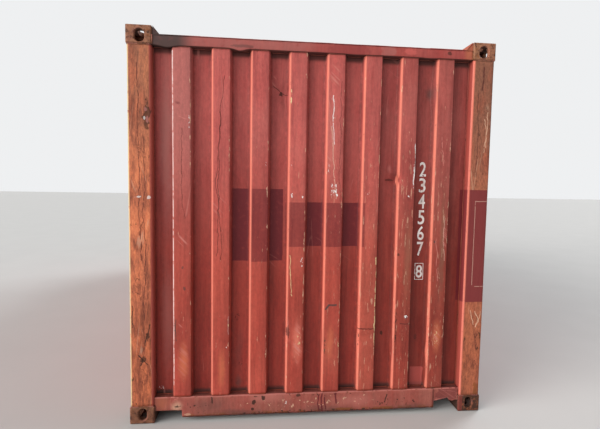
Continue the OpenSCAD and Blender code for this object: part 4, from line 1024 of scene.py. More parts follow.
def wall_tones_and_shade(f, fresh):
    """Deeper red in the flats, partly painted shade, and ridges bleached by turns, the outermost
    greyed; painted shade on the lit left slopes, towards the right of the wall and on the right of
    each ridge face.
    """
    wall = bpy.context.scene.container_wall
    f.recess = ramp(f.y, FRONT + 0.030, FRONT + 0.060)
    # partly painted shade: the flats laid deeper red for their shade as well as for paint the sun
    # bleached less
    f.lay(f.recess, fresh, strength=0.45)
    column = f.x / wall.pitch + wall.ridges / 2
    f.aside = (maths("FRACT", column) - 0.5) * wall.pitch
    tone = cloud(joined(maths("FLOOR", column) * 3.7, 0.0, f.z), 2)
    proud = 1.0 - f.recess
    f.lay(proud * ramp(tone, 0.5, 0.68), "chalk", strength=0.30)
    f.lay(proud * ramp(tone, 0.5, 0.36), "fresh", strength=0.22)
    outermost = ramp(f.x, -0.70, -0.80) * ramp(f.z, 1.0, 2.0)
    f.lay(proud * outermost, "greyed", strength=0.55)
    # painted shade, partly less bleached paint: the left slopes, which face the light, laid deeper
    # red
    f.lay(proud * ramp(f.aside, -0.052, -0.058), fresh, strength=0.5)
    # painted shade: the wall darker towards the right
    f.tint(ramp(f.x, 0.10, 0.90), "turned")
    # painted shade: the right side of each ridge face a little darker
    f.tint(proud * ramp(f.aside, -0.02, 0.06), (0.86, 0.86, 0.88))


def wall_marks(f):
    """Painted shade in the flats low down and in their inner bends, dirt with painted shade along
    the ledges, rolled repaint, the relieved patch, painted highlights on the left bends, a painted
    catch-light on the first ridge and the wall's single marks.
    """
    wall = bpy.context.scene.container_wall
    level = split(f.brushed)[2]
    # partly painted shade: the flats darker and more plum low down
    f.tint(f.recess * ramp(level, 0.5, 2.2, 0.9, 0.0), "sheltered")
    foot = wall.face / 2 + wall.slope
    # painted shade in the inner bends of the flats
    bend_shade = ramp(abs(f.aside), foot + 0.016, foot - 0.004)
    f.lay(bend_shade * f.recess * ramp(f.chips, 0.3, 0.6), "crack", strength=0.5)
    # dirt and painted shade in the flats under the header and above the sill
    ledge_dirt_and_shade = most(ramp(level, 2.425, 2.450), ramp(level, 0.215, 0.190))
    f.lay(f.recess * ledge_dirt_and_shade, "dirt", 0.9, strength=0.8)
    slope = (ramp(f.y, FRONT + 0.020, FRONT + 0.026)
             * ramp(f.y, FRONT + 0.062, FRONT + 0.056))
    off_slope = 1.0 - slope * 0.8
    patchy = ramp(f.chips, 0.25, 0.5, 0.7, 1.0)
    for area in REPAINTED:
        f.lay(area_mask(f, area) * off_slope * patchy * ramp(f.recess, 0.0, 1.0, 0.56, 0.86),
              "repaint", 0.5, 0.00008)
    f.lay(area_mask(f, POST_REPAINT), "repaint", 0.5, strength=0.75)
    f.lay(area_mask(f, RELIEVED), "faded", strength=0.45)
    half = wall.face / 2
    # painted highlight: a bright line along each ridge's left bend, which faces the light, weaker
    # on the first ridge
    bright = (ramp(f.aside, 0.009 - half, 0.003 - half)
              * ramp(f.aside, -0.009 - half, -0.004 - half)
              * ramp(f.chips, 0.28, 0.42, 0.45, 1.0) * ramp(f.x, -0.86, -0.76, 0.3, 1.0))
    f.lay(bright, "bleach", 0.45, strength=0.75)
    speckled = ((1.0 - f.recess) * ramp(f.x, -0.3, 0.5, 0.42, 0.60)
                * ramp(f.z, 1.7, 2.3, 1.0, 0.72))
    f.lay(f.group("Flakes", Where=speckled, Scale=75.0, Stretch=0.14, Seed=6.0), "post_pale",
          0.8, strength=0.5)
    draw_glows(f, WALL_GLOWS)
    draw_scuffs(f, WALL_SCUFFS_AND_DENT_HIGHLIGHT, 0.8)
    draw_marks(f, WALL_STROKES, WALL_BLOTS, 0.7)
    draw_flakes(f, WALL_FLAKES)
    worn = bends(f) * ramp(f.aside, -0.03, 0.03, 0.50, 0.68)
    f.lay(f.group("Flakes", Where=worn, Scale=48.0, Stretch=0.28, Seed=9.0), "post_pale", 0.8,
          -0.0003, 0.75)
    # painted catch-light: a broken white line on the first ridge's left bend
    line = area_mask(f, RIDGE_CATCH_LIGHT, (FRONT + 0.008, FRONT + 0.030))
    f.lay(line * ramp(f.chips, 0.36, 0.48), "white", 0.8, strength=0.62)


def post_marks(f):
    """The right post's repaint with its outline, the posts' cracks and rust, and painted
    highlights on the left post's outer bend and the right post's inner bend.
    """
    # painted highlight: a pale broken line on the left post's outer bend, which faces the light
    bend = ramp(f.x, -1.200, -1.209) * ramp(f.y, FRONT + 0.022, FRONT + 0.016)
    f.lay(bend * ramp(f.chips, 0.30, 0.42), "post_edge", strength=0.9)
    f.lay(ramp(abs(f.x), 1.082, 1.072), "header", 0.5, strength=0.85)
    repainted = area_mask(f, POST_REPAINT)
    f.lay(repainted, "fresh", 0.5, strength=0.92)
    f.lay(repainted, "repaint", 0.5, strength=0.45)
    # painted highlight: a bright line on the right post's inner bend
    bend = (ramp(f.x, 1.080, 1.074) * ramp(f.x, 1.0625, 1.066)
            * ramp(f.y, FRONT + 0.020, FRONT + 0.014) * ramp(f.chips, 0.28, 0.42, 0.5, 1.0))
    f.lay(bend, "bleach", 0.45, strength=0.75)
    draw_outline(f, POST_OUTLINE)
    draw_marks(f, POST_STROKES, POST_BLOTS, 0.8)


def draw_outline(f, area, line=0.0045):
    """A thin pale rectangle, as a lifted sticker leaves."""
    inner = Area(area.low_x + line, area.high_x - line, area.low_z + line, area.high_z - line)
    mask = area_mask(f, area) - area_mask(f, inner)
    f.lay(mask * ramp(f.chips, 0.36, 0.46), "primer", strength=0.6)


def header_marks(f):
    """The header's blackened left end, tan right end (a painted highlight where the corner plate
    faces the light), brighter patch and rust spots.
    """
    patchy = ramp(f.chips, 0.30, 0.50)
    # the tan right end is a painted highlight on the corner plate that faces the light
    for start, end, least, tone, rough, strength in (
            (0.05, -0.15, 0.5, "greyed", None, 0.45), (-0.77, -0.91, 0.9, "grime", 0.8, 1.0),
            (0.985, 1.025, 0.6, "post", 0.8, 0.8)):
        f.lay(ramp(f.x, start, end) * ramp(patchy, 0.0, 1.0, least, 1.0), tone, rough,
              strength=strength)
    draw_blots(f, HEADER_BLOTS, 0.5)


def sill_marks(f):
    """The sill's spots, runs, worn edges and the pale end of its doubling plate, painted
    highlights along the torn notch, and painted shade behind its front face.
    """
    f.lay(ramp(f.z, 0.066, 0.044) * ramp(f.chips, 0.42, 0.56), "rust", 0.9, strength=0.8)
    f.lay(ramp(f.z, 0.048, 0.036), "crack", 0.9, strength=0.7)
    draw_glows(f, SILL_GLOWS)
    draw_flakes(f, SILL_FLAKES, 42.0, 1.0)
    draw_marks(f, SILL_STROKES, SILL_BLOTS, 0.7)
    edge = (ramp(f.z, SILL_HIGH[2] - 0.007, SILL_HIGH[2] - 0.004)
            * ramp(f.y, SILL_LOW[1] + 0.006, SILL_LOW[1] + 0.003))
    f.lay(edge * ramp(f.chips, 0.34, 0.44), "chalk", strength=0.9)
    # painted shade: the sill darker behind its front face, on its folds and underside
    f.lay(ramp(f.y, SILL_LOW[1] + 0.004, SILL_LOW[1] + 0.009), "crack", 0.9, strength=0.6)


def casting_marks(f):
    """Mottled cast steel, with painted shade, near black, on the inner sides behind the front
    faces, and a red strip on a foot.
    """
    mottle = cloud(scaled(f.place, 34.0), 8, 0.75)
    f.lay(ramp(mottle, 0.50, 0.58), "casting_pale", strength=0.8)
    f.lay(ramp(mottle, 0.48, 0.40), "rust_dark", 0.9, strength=0.85)
    f.lay(ramp(cloud(scaled(f.place, 55.0, seed=3.0), 6, 0.7), 0.54, 0.62), "rust", 0.9,
          strength=0.7)
    low = ramp(f.z, 0.30, 0.10, 0.0, 0.34)
    f.lay(low * ramp(f.x, -1.0, 1.0, 0.9, 2.6), "rust_dark", 0.9)
    front = ramp(f.y, FRONT + 0.012, FRONT + 0.004)
    # painted shade: the castings' inner sides, behind their front faces, near black
    f.lay(ramp(abs(f.x), 1.066, 1.060) * (1.0 - front), "rust_dark", 0.9, strength=0.75)
    f.lay(area_mask(f, Area(1.055, 1.090, 0.0, 0.118)) * front, "header", strength=0.4)
    patchy = ramp(cloud(scaled(f.place, 40.0), 6, 0.65), 0.50, 0.58)
    f.lay(area_mask(f, Area(1.085, 1.230, 0.0, 0.125)) * patchy * front, "post_bright",
          strength=0.22)


# ---------------------------------------------------------------- the materials

def plywood():
    """Floor boards: long grain, dark knots and worn oil."""
    f = Finish("Oiled plywood")
    grain = cloud(scaled(f.place, 60.0, (1, 0.03, 1)), 6, 0.6, 0.4)
    f.base = mixed(0.6, mixed(ramp(grain, 0.35, 0.65), f.look.wood, f.look.dirt), f.look.wood)
    f.lay(f.group("Paint fade", Scale=4.0, Contrast=0.15), "dirt", strength=0.4)
    f.lay(f.group("Scratches", Angle=0.4, Scale=9.0, Width=0.012, Amount=0.4), "wood")
    f.rough = ramp(grain, 0.3, 0.7, 0.6, 0.85)
    f.raise_by(grain * 0.0004)
    return f


def gasket():
    """Door gaskets: matte rubber, greyed and dusty."""
    f = Finish("Gasket rubber")
    f.base = mixed(f.group("Paint fade", Scale=8.0, Contrast=0.12) * 0.5, f.look.rubber,
                   (0.09, 0.085, 0.08))
    # ground dirt, with painted shade under what faces down
    f.lay(f.group("Ground dirt", Height=0.5, Amount=0.5), "dirt")
    f.lay(f.group("Runs", Scale=18.0, Amount=0.4), "dirt", strength=0.5)
    f.rough = ramp(cloud(scaled(f.place, 90.0)), 0.3, 0.7, 0.7, 0.9)
    f.raise_by(cloud(scaled(f.place, 300.0)) * 0.0001)
    return f


def numeral_paint():
    """White numerals: worn paint through which the red shows."""
    f = Finish("Numeral paint")
    f.base = mixed(f.group("Paint fade", Scale=9.0, Contrast=0.12, Seed=2.0), f.look.white,
                   (0.62, 0.52, 0.48))
    f.lay(ramp(f.chips, 0.59, 0.64), "fresh", 0.7)
    f.lay(f.group("Runs", Scale=20.0, Amount=0.3), "dirt", strength=0.4)
    f.rough = ramp(f.chips, 0.3, 0.7, 0.45, 0.65)
    f.raise_by(f.chips * 0.0002)
    return f


# Worn paints: the material's name, two colours between which it fades, a seed, and what
# the weather did
WORN_PAINTS = {
    "front wall": ("Front wall paint", "fresh", "faded", 1.0, dict(
        rust=0.16, fade=0.68, cracks=0.10, scratches=0.34, runs=0.36, dirt=0.5, edges=0.20,
        marks=wall_marks, shelter=wall_tones_and_shade)),
    "wall": ("Side wall paint", "fresh", "faded", 3.0, dict(
        rust=0.28, fade=0.62, cracks=0.10, scratches=0.42, runs=0.46, dirt=0.6, edges=0.55)),
    "roof": ("Roof paint", "fresh", "faded", 5.0, dict(
        rust=0.34, fade=0.55, runs=0.0, dirt=0.9)),
    "frame": ("Frame paint", "fresh", "faded", 9.0, dict(
        rust=0.12, fade=0.28, cracks=0.08, scratches=0.28, runs=0.2, dirt=0.5, edges=0.45)),
    "header": ("Header paint", "fresh", "header", 10.0, dict(
        rust=0.16, fade=0.6, scratches=0.2, runs=0.1, dirt=0.1, edges=0.3, streaks=0.3,
        marks=header_marks)),
    "sill": ("Sill paint", "header", "sill", 11.0, dict(
        rust=0.22, fade=0.55, cracks=0.05, scratches=0.34, dirt=0.25, edges=0.4,
        marks=sill_marks, warmth=0.3)),
    "casting": ("Casting finish", "casting", "casting_pale", 13.0, dict(
        rust=0.36, fade=0.4, scratches=0.35, runs=0.2, dirt=0.25, edges=0.75,
        edge_radius=0.010, marks=casting_marks, grain=0.0004, warmth=0.3)),
    "door": ("Door paint", "fresh", "faded", 15.0, dict(
        rust=0.28, fade=0.6, cracks=0.10, scratches=0.42, runs=0.46, dirt=0.6, edges=0.6)),
    "gear": ("Lock gear finish", "fresh", "casting", 17.0, dict(
        rust=0.44, fade=0.45, scratches=0.4, runs=0.2, dirt=0.4, edges=0.75,
        edge_radius=0.004)),
    "underframe": ("Underframe coating", "coating", "fresh", 19.0, dict(
        rust=0.36, fade=0.3, scratches=0.2, runs=0.0, dirt=0.6, edges=0.4, grain=0.0006)),
    "weld": ("Weld bead finish", "post_dark", "fresh", 21.0, dict(
        rust=0.4, fade=0.45, scratches=0.1, runs=0.2, dirt=0.4, edges=0.4,
        edge_radius=0.002)),
    "bolt": ("Fastener finish", "casting", "rust", 23.0, dict(
        rust=0.5, fade=0.4, scratches=0.2, runs=0.0, edges=0.6, edge_radius=0.002)),
}


# ---------------------------------------------------------------- operators

FINISHES = {}
CASTINGS = [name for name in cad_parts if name.startswith("casting_")]
FRAME_NODES = ("rear_post_left", "rear_post_right", "door_header", "door_sill",
               "top_rail_left", "top_rail_right", "bottom_rail_left", "bottom_rail_right")
GEAR = ("lock_bar_1", "lock_bar_2", "lock_bar_3", "lock_bar_4", "lock_bar_guides",
        "cam_keepers", "handle_catches", "hinge_lugs", "hinge_blades")
PAINTED_NODES = {
    "casting": CASTINGS,
    "post": ("front_post_left", "front_post_right"),
    "front wall": ("front_wall",),
    "wall": ("side_wall_left", "side_wall_right", "ventilators"),
    "header": ("front_header", "roof_corner_plates"),
    "frame": FRAME_NODES,
    "sill": ("front_sill", "front_sill_plate"),
    "roof": ("roof",),
    "underframe": ("cross_members", "fork_pocket_plates"),
    "wood": ("floor",),
    "door": ("door_left", "door_right"),
    "rubber": ("door_seal_left", "door_seal_right"),
    "gear": GEAR,
}
SHARP_NODES = FRAME_NODES + ("roof_corner_plates", "hinge_blades", "cam_keepers",
                             "handle_catches", "fork_pocket_plates")


class ContainerStep(bpy.types.Operator):
    """Base of the steps that build the scene"""
    bl_options = {"REGISTER", "UNDO"}

    def execute(self, context):
        self.build(context.scene)
        return {"FINISHED"}


class CONTAINER_OT_finishes(ContainerStep):
    """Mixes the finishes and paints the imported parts"""
    bl_idname = "container.finishes"
    bl_label = "Finishes"

    def build(self, scene):
        build_groups()
        for key, (name, fresh, faded, seed, weather) in WORN_PAINTS.items():
            FINISHES[key] = weathered(name, fresh, faded, seed, **weather).done()
        FINISHES["post"] = bare_grain("Post paint", 7.0, post_marks).done()
        FINISHES["wood"] = plywood().done()
        FINISHES["rubber"] = gasket().done()
        FINISHES["white"] = numeral_paint().done()
        for finish, nodes in PAINTED_NODES.items():
            for node in nodes:
                paint_node(node, FINISHES[finish])
        for node in CASTINGS:
            soften(node, scene.container_frame.casting_round, 3)
        for node in SHARP_NODES:
            soften(node, scene.container_frame.steel_round, 1)


class CONTAINER_OT_front_wall(ContainerStep):
    """Presses the front wall with its dents and waves"""
    bl_idname = "container.front_wall"
    bl_label = "Front wall"

    def build(self, scene):
        size, deep = scene.container_wall, scene.container_frame.wall_recess
        corners = ridge_corners(WALL_LOW[0], WALL_HIGH[0], size.ridges, size.pitch, size.face,
                                size.slope, deep, deep - size.depth)
        path = bent_path(corners, size.bend, size.cell, 3, size.ridge_bend)
        rows = steps(WALL_LOW[2], WALL_HIGH[2], size.cell)
        vertices, wear = [], []
        for z in rows:
            free = held_ends(rows, z)
            for x, v, bent in path:
                inward, aside = pressed(WALL_DENTS, x, z)
                wave = lump(x * 3.1, v * 8, z * 1.7) * size.wave
                lean = lump(round(x / size.pitch * 2) * 3.3, 0, z * 1.9)
                vertices.append((x + free * (aside + lean * size.wave * 0.8),
                                 FRONT + v + free * (wave + inward), z))
                wear.append(bent)
        made = piece("pressed_front_wall", vertices, grid_faces(len(path), len(rows)),
                     FINISHES["front wall"], wear=wear)
        thicken(made, size.sheet)
        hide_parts("front_wall")


class CONTAINER_OT_front_posts(ContainerStep):
    """Bends both front posts, slightly waved by knocks"""
    bl_idname = "container.front_posts"
    bl_label = "Front posts"

    def build(self, scene):
        size = scene.container_frame
        half = CAD_HIGH[0]
        outer, inner = half + POST_LOW[0], half + POST_HIGH[0]
        back, front = POST_HIGH[1] - FRONT, POST_LOW[1] - FRONT
        path = bent_path([(size.side_recess, back), (outer, back), (outer, front),
                          (inner, front), (inner, size.wall_recess)], size.post_bend, 0.02)
        rows = steps(POST_LOW[2], POST_HIGH[2], 0.025)
        for side, name in SIDES:
            vertices, wear = [], []
            for z in rows:
                free = held_ends(rows, z)
                for u, v, bent in path:
                    x, y = side * (half - u), FRONT + v
                    knock = lump(x * 4, y * 4, z * 2.3)
                    hit = lump(x * 14, side * 5, z * 9.0)
                    lean = free * (0.0012 + 0.0012 * knock + 0.0008 * max(0.0, hit))
                    vertices.append((x - side * lean * 0.6, y + lean, z))
                    wear.append(bent)
            faces = grid_faces(len(path), len(rows))
            if side > 0:
                faces = [quad[::-1] for quad in faces]
            made = piece("pressed_front_post_" + name, vertices, faces, FINISHES["post"],
                         wear=wear)
            thicken(made, size.post_sheet)
            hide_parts("front_post_" + name)


class CONTAINER_OT_front_header(ContainerStep):
    """Runs the front header, its lower edge pulled down in two places"""
    bl_idname = "container.front_header"
    bl_label = "Front header"

    def build(self, scene):
        size = scene.container_frame
        (y0, z0), (y1, z1) = HEADER_LOW[1:], HEADER_HIGH[1:]
        r = size.rail_round
        section = []
        for cy, cz, start in ((y1 - r, z1 - r, 0), (y0 + r, z1 - r, 90),
                              (y0 + r, z0 + r, 180), (y1 - r, z0 + r, 270)):
            for k in range(4):
                turn = math.radians(start + 30 * k)
                section.append((cy + r * math.cos(turn), cz + r * math.sin(turn)))
        vertices, wear = [], []
        columns = steps(HEADER_LOW[0], HEADER_HIGH[0], 0.012)
        for x in columns:
            sag = sum(d.depth * math.exp(-((x - d.x) / d.wide) ** 2) for d in HEADER_SAGS)
            ragged = abs(lump(x * 28.0, 3.0, 1.0) * 0.0012)
            for y, z in section:
                low = 1.0 if z < (z0 + z1) / 2 else 0.0
                front = 1.0 if y < (y0 + y1) / 2 else 0.35
                knock = lump(x * 5.0, y * 20, z * 20)
                vertices.append((x, y + 0.0008 * knock + 0.001,
                                 z - low * front * (sag + ragged) + 0.0004 * knock))
                wear.append(0.7 * low)
        made = piece("worn_front_header", vertices,
                     grid_faces(len(section), len(columns), True), FINISHES["header"],
                     wear=wear)
        thicken(made, size.rail_sheet)
        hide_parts("front_header")
        self.plate_ends()

    def plate_ends(self):
        """Small three-sided ends that close the corner plates beside the top castings."""
        low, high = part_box("roof_corner_plates")
        foot, thick, fall = HEADER_HIGH[2] - 0.001, 0.004, 0.044
        for side, name in SIDES:
            outer, inner = side * (high[0] + 0.001), side * (high[0] - fall)
            corners = [(outer, foot), (outer, high[2] - 0.004), (inner, foot + 0.003),
                       (inner, foot)]
            vertices = [(x, low[1] + 0.004 + d, z) for d in (0, thick) for x, z in corners]
            faces = BOX_FACES if side < 0 else [quad[::-1] for quad in BOX_FACES]
            piece("corner_plate_end_" + name, vertices, faces, FINISHES["header"],
                  smooth=False)


class CONTAINER_OT_front_sill(ContainerStep):
    """Folds the front sill and its torn doubling plate"""
    bl_idname = "container.front_sill"
    bl_label = "Front sill"

    def build(self, scene):
        size = scene.container_frame
        foot, head, face, back, end = (SILL_LOW[2], SILL_HIGH[2], SILL_LOW[1], SILL_HIGH[1],
                                       SILL_HIGH[0])
        tall = head - foot
        butt = -CASTING_HIGH[0]
        run = butt - size.notch_w
        fold = [(y, z) for y, z, _ in bent_path(
            [(back, 0.0), (face, 0.0), (face, tall), (back, tall)], 0.006, 0.018)]
        columns = (steps(-end, -run - NOTCH_CUT, 0.01) + steps(-run, run, 0.014)
                   + steps(run + NOTCH_CUT, end, 0.01))
        vertices = []
        for x in columns:
            low = foot + 0.0016 * lump(x * 9, 0, 0)
            if abs(x) > run:
                low = foot + size.notch_h
                if x > 0:
                    low += self.torn(x - run)
            for y, z in fold:
                share = z / tall
                level = low + share * (head - low)
                place = min(max(x, -butt), butt) if level < CASTING_HIGH[2] else x
                wave = 0.0009 * lump(x * 5, y * 10, level * 9)
                top = 0.0012 * lump(x * 12, 7, 0) * share
                vertices.append((place, y + wave + 0.0008, level - abs(top)))
        made = piece("folded_front_sill", vertices, grid_faces(len(fold), len(columns)),
                     FINISHES["sill"])
        thicken(made, size.sill_sheet, 1.0)
        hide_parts("front_sill")
        self.doubler(size, run)

    def torn(self, x):
        """How far the right notch's torn lower edge stands off its straight line."""
        rise = 0.020 * max(0.0, (x - 0.020) / 0.085) if x < 0.105 else 0.002
        hump = -0.006 * math.exp(-((x - 0.135) / 0.020) ** 2)
        return rise + hump + 0.0025 * lump(x * 40, 2, 0)

    def doubler(self, size, run, rows=10):
        """The doubling plate, round at its left end and ragged along its edges."""
        low, high = PLATE_LOW, PLATE_HIGH
        left, r = low[0], (high[2] - low[2] - size.notch_h) / 2
        centre = high[2] - r
        round_end = [left + r * (1 - math.cos(math.pi / 2 * k / 8)) for k in range(8)]
        columns = (round_end + steps(left + r, -run - NOTCH_CUT, 0.01)
                   + steps(-run, run - 0.006, 0.014))
        vertices, wear = [], []
        for x in columns:
            top, foot = high[2] - 0.002, low[2] + size.notch_h
            if x < left + r:
                half = math.sqrt(max(0.0, r * r - (left + r - x) ** 2))
                top, foot = centre + half - 0.002, centre - half
            elif x >= -run:
                foot = low[2] + 0.001
            foot += 0.0018 * lump(x * 22, 5, 0) + 0.001
            top -= abs(0.0015 * lump(x * 30, 9, 0))
            for k in range(rows):
                z = foot + (top - foot) * (k / (rows - 1))
                edge = 1.0 if k in (0, rows - 1) else 0.0
                bulge = 0.0008 * lump(x * 7, 0, z * 12)
                vertices.append((x, low[1] + 0.001 + bulge + 0.0012 * edge, z))
                wear.append(edge)
        made = piece("sill_doubling_plate", vertices, grid_faces(rows, len(columns)),
                     FINISHES["sill"], wear=wear)
        thicken(made, size.plate_sheet, 1.0)
        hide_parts("front_sill_plate")


class CONTAINER_OT_welds(ContainerStep):
    """Lays the weld beads along the seams"""
    bl_idname = "container.welds"
    bl_label = "Weld beads"

    def build(self, scene):
        wall, r, finish = scene.container_wall, scene.container_welds.bead, FINISHES["weld"]
        deep = FRONT + scene.container_frame.wall_recess
        low, high = WALL_LOW[2], WALL_HIGH[2]
        corners = ridge_corners(WALL_LOW[0] + 0.01, WALL_HIGH[0] - 0.01, wall.ridges,
                                wall.pitch, wall.face, wall.slope, deep, deep - wall.depth)
        for name, z in (("foot", low + 0.001), ("head", high - 0.001)):
            runs = [((*a, z), (*b, z)) for a, b in zip(corners, corners[1:])]
            weld_bead("weld_bead_wall_" + name, runs, r, finish)
        post = POST_HIGH[0]
        weld_bead("weld_bead_wall_sides",
                  [((s * post, deep, low), (s * post, deep, high)) for s in (-1, 1)], r, finish)
        self.corner_beads(r)
        self.roof_beads(r * 0.7)
        self.side_beads(r * 0.8, finish)

    def corner_beads(self, r):
        """Seams between each casting and the posts, header, sill and rails."""
        runs = []
        roof_level = HEADER_HIGH[2]
        for name in CASTINGS:
            low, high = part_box(name)
            right, rear, top = "right" in name, "rear" in name, "top" in name
            x_in, x_out = (low[0], high[0] - 0.005) if right else (high[0], low[0] + 0.005)
            y_in, y_out = (low[1], high[1] - 0.005) if rear else (high[1], low[1] + 0.005)
            z_in = low[2] if top else high[2]
            toward, inward = -1 if right else 1, -1 if rear else 1
            runs.append(((x_out - toward * 0.001, y_out, z_in),
                         (x_in + toward * -0.006, y_out, z_in)))
            runs.append(((x_out, y_out + inward * 0.012, z_in),
                         (x_out, y_in - inward * 0.010, z_in)))
            if top:
                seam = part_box("door_header") if rear else (HEADER_LOW, HEADER_LOW)
                y, x = seam[1][1], x_out + toward * 0.001
                runs.append(((x_in, y, max(seam[0][2], z_in)), (x_in, y, roof_level)))
                runs.append(((x, y_in, z_in), (x, y_in, roof_level)))
            else:
                if not rear:
                    runs.append(((x_in, SILL_LOW[1], SILL_LOW[2] + 0.05),
                                 (x_in, SILL_LOW[1], z_in)))
                runs.append(((x_out, y_in, 0.014), (x_out, y_in, z_in)))
        weld_bead("weld_bead_castings", runs, r, FINISHES["casting"])

    def roof_beads(self, r):
        """Seams of the roof with its rails and corner plates."""
        low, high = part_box("roof")
        z = HEADER_HIGH[2] + 0.0015
        x, y = CASTING_HIGH[0], CASTING_HIGH[1]
        runs = [((side, y, z), (side, -y, z)) for side in (low[0], high[0])]
        runs += [((x, end, z), (-x, end, z)) for end in (low[1], high[1])]
        weld_bead("weld_bead_roof", runs, r, FINISHES["header"])

    def side_beads(self, r, finish):
        """Seams between the side walls and the rails, along every flat and ridge."""
        low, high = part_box("side_wall_left")
        pitch, face, slope, outer, inner = 0.278, 0.072, 0.068, 0.007, 0.043
        count = int((high[1] - low[1] - 0.08 + pitch - face - 2 * slope) // pitch)
        flat = ridge_corners(low[1] + 0.01, high[1] - 0.01, count, pitch, face, slope, inner,
                             outer)
        half = CAD_HIGH[0]
        for side, name in SIDES:
            runs = [((side * (half - a[1]), a[0], z), (side * (half - b[1]), b[0], z))
                    for z in (low[2] + 0.001, high[2] - 0.001)
                    for a, b in zip(flat, flat[1:])]
            weld_bead("weld_bead_side_" + name, runs, r, finish)


class CONTAINER_OT_fasteners(ContainerStep):
    """Sets the rivets and bolts of the door gear"""
    bl_idname = "container.fasteners"
    bl_label = "Fasteners"

    def build(self, scene):
        size = scene.container_welds
        low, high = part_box("door_left")
        rear, foot, top = high[1], low[2], high[2]
        tall = top - foot
        leaf_edge, leaf_w, guide_out, plate = 0.0535, 1.1605, 0.036, 0.005
        left = -HALF_WIDTH + leaf_edge
        bars = (left + 0.300, left + leaf_w - 0.270, -left - leaf_w + 0.270, -left - 0.300)
        levels = (foot + 0.060, top - 0.060, foot + 0.3 * tall, foot + 0.72 * tall)
        bolts = [(x + s * guide_out, rear + plate, z) for x in bars for z in levels
                 for s in (-1, 1)]
        heads("guide_bolts", bolts, size.bolt, (0, 1, 0))
        levels = [foot + 0.2 + i * (tall - 0.4) / 3 for i in range(4)]
        rivets = [(s * (HALF_WIDTH - leaf_edge - k), rear + 0.010, z + dz) for s in (-1, 1)
                  for z in levels for k, dz in ((0.055, 0.016), (0.100, -0.016), (0.145, 0.016))]
        heads("hinge_rivets", rivets, size.rivet, (0, 1, 0), dome=True)
        low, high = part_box("floor")
        rows = 18
        levels = [low[1] + 0.12 + i * (high[1] - low[1] - 0.24) / (rows - 1)
                  for i in range(rows)]
        screws = [(x, y, high[2] - 0.0005) for y in levels
                  for x in (-1.05, -0.62, -0.55, -0.05, 0.05, 0.55, 0.62, 1.05)]
        heads("floor_screws", screws, 0.010, (0, 0, 1), dome=True)


class CONTAINER_OT_numerals(ContainerStep):
    """Paints plain numerals down a flat of the front wall"""
    bl_idname = "container.numerals"
    bl_label = "Numerals"

    def build(self, scene):
        face = FRONT + scene.container_frame.wall_recess
        middle, top, tall, wide, pitch, line = 0.758, 1.781, 0.100, 0.047, 0.112, 0.004
        box = Area(0.728, 0.783, 0.9545, 1.0655)
        rows = [(figure, middle, top - i * pitch - tall / 2, tall)
                for i, figure in enumerate("234567")]
        rows.append(("8", (box.low_x + box.high_x) / 2, (box.low_z + box.high_z) / 2, 0.090))
        vertices, faces = [], []
        for figure, centre, level, high in rows:
            shape = self.figure(scene, figure)
            (x0, x1), (y0, y1) = [(min(v.co[k] for v in shape.vertices),
                                   max(v.co[k] for v in shape.vertices)) for k in (0, 1)]
            cx, cy = (x0 + x1) / 2, (y0 + y1) / 2
            sx, sy = wide / (x1 - x0), high / (y1 - y0)
            join(vertices, faces,
                 [(centre + (v.co.x - cx) * sx, face - 0.0004 - v.co.z * 0.1,
                   level + (v.co.y - cy) * sy) for v in shape.vertices],
                 [tuple(p.vertices) for p in shape.polygons])
            bpy.data.meshes.remove(shape)
        left, right = box.low_x - line, box.high_x + line
        for x0, x1, z0, z1 in ((left, right, box.low_z - line, box.low_z),
                               (left, right, box.high_z, box.high_z + line),
                               (left, box.low_x, box.low_z, box.high_z),
                               (box.high_x, right, box.low_z, box.high_z)):
            bar = [(x, y, z) for y in (face - 0.0008, face)
                   for x, z in ((x0, z0), (x1, z0), (x1, z1), (x0, z1))]
            join(vertices, faces, bar, BOX_FACES)
        piece("plain_numerals", vertices, faces, FINISHES["white"], smooth=False)

    def figure(self, scene, body):
        """The mesh of one thin bold figure."""
        curve = bpy.data.curves.new("Figure", "FONT")
        curve.body = body
        curve.extrude = 0.004
        curve.offset = 0.012
        curve.resolution_u = 4
        holder = bpy.data.objects.new("Figure", curve)
        scene.collection.objects.link(holder)
        bpy.context.view_layer.update()
        shape = bpy.data.meshes.new_from_object(
            holder.evaluated_get(bpy.context.evaluated_depsgraph_get()))
        bpy.data.objects.remove(holder)
        bpy.data.curves.remove(curve)
        return shape


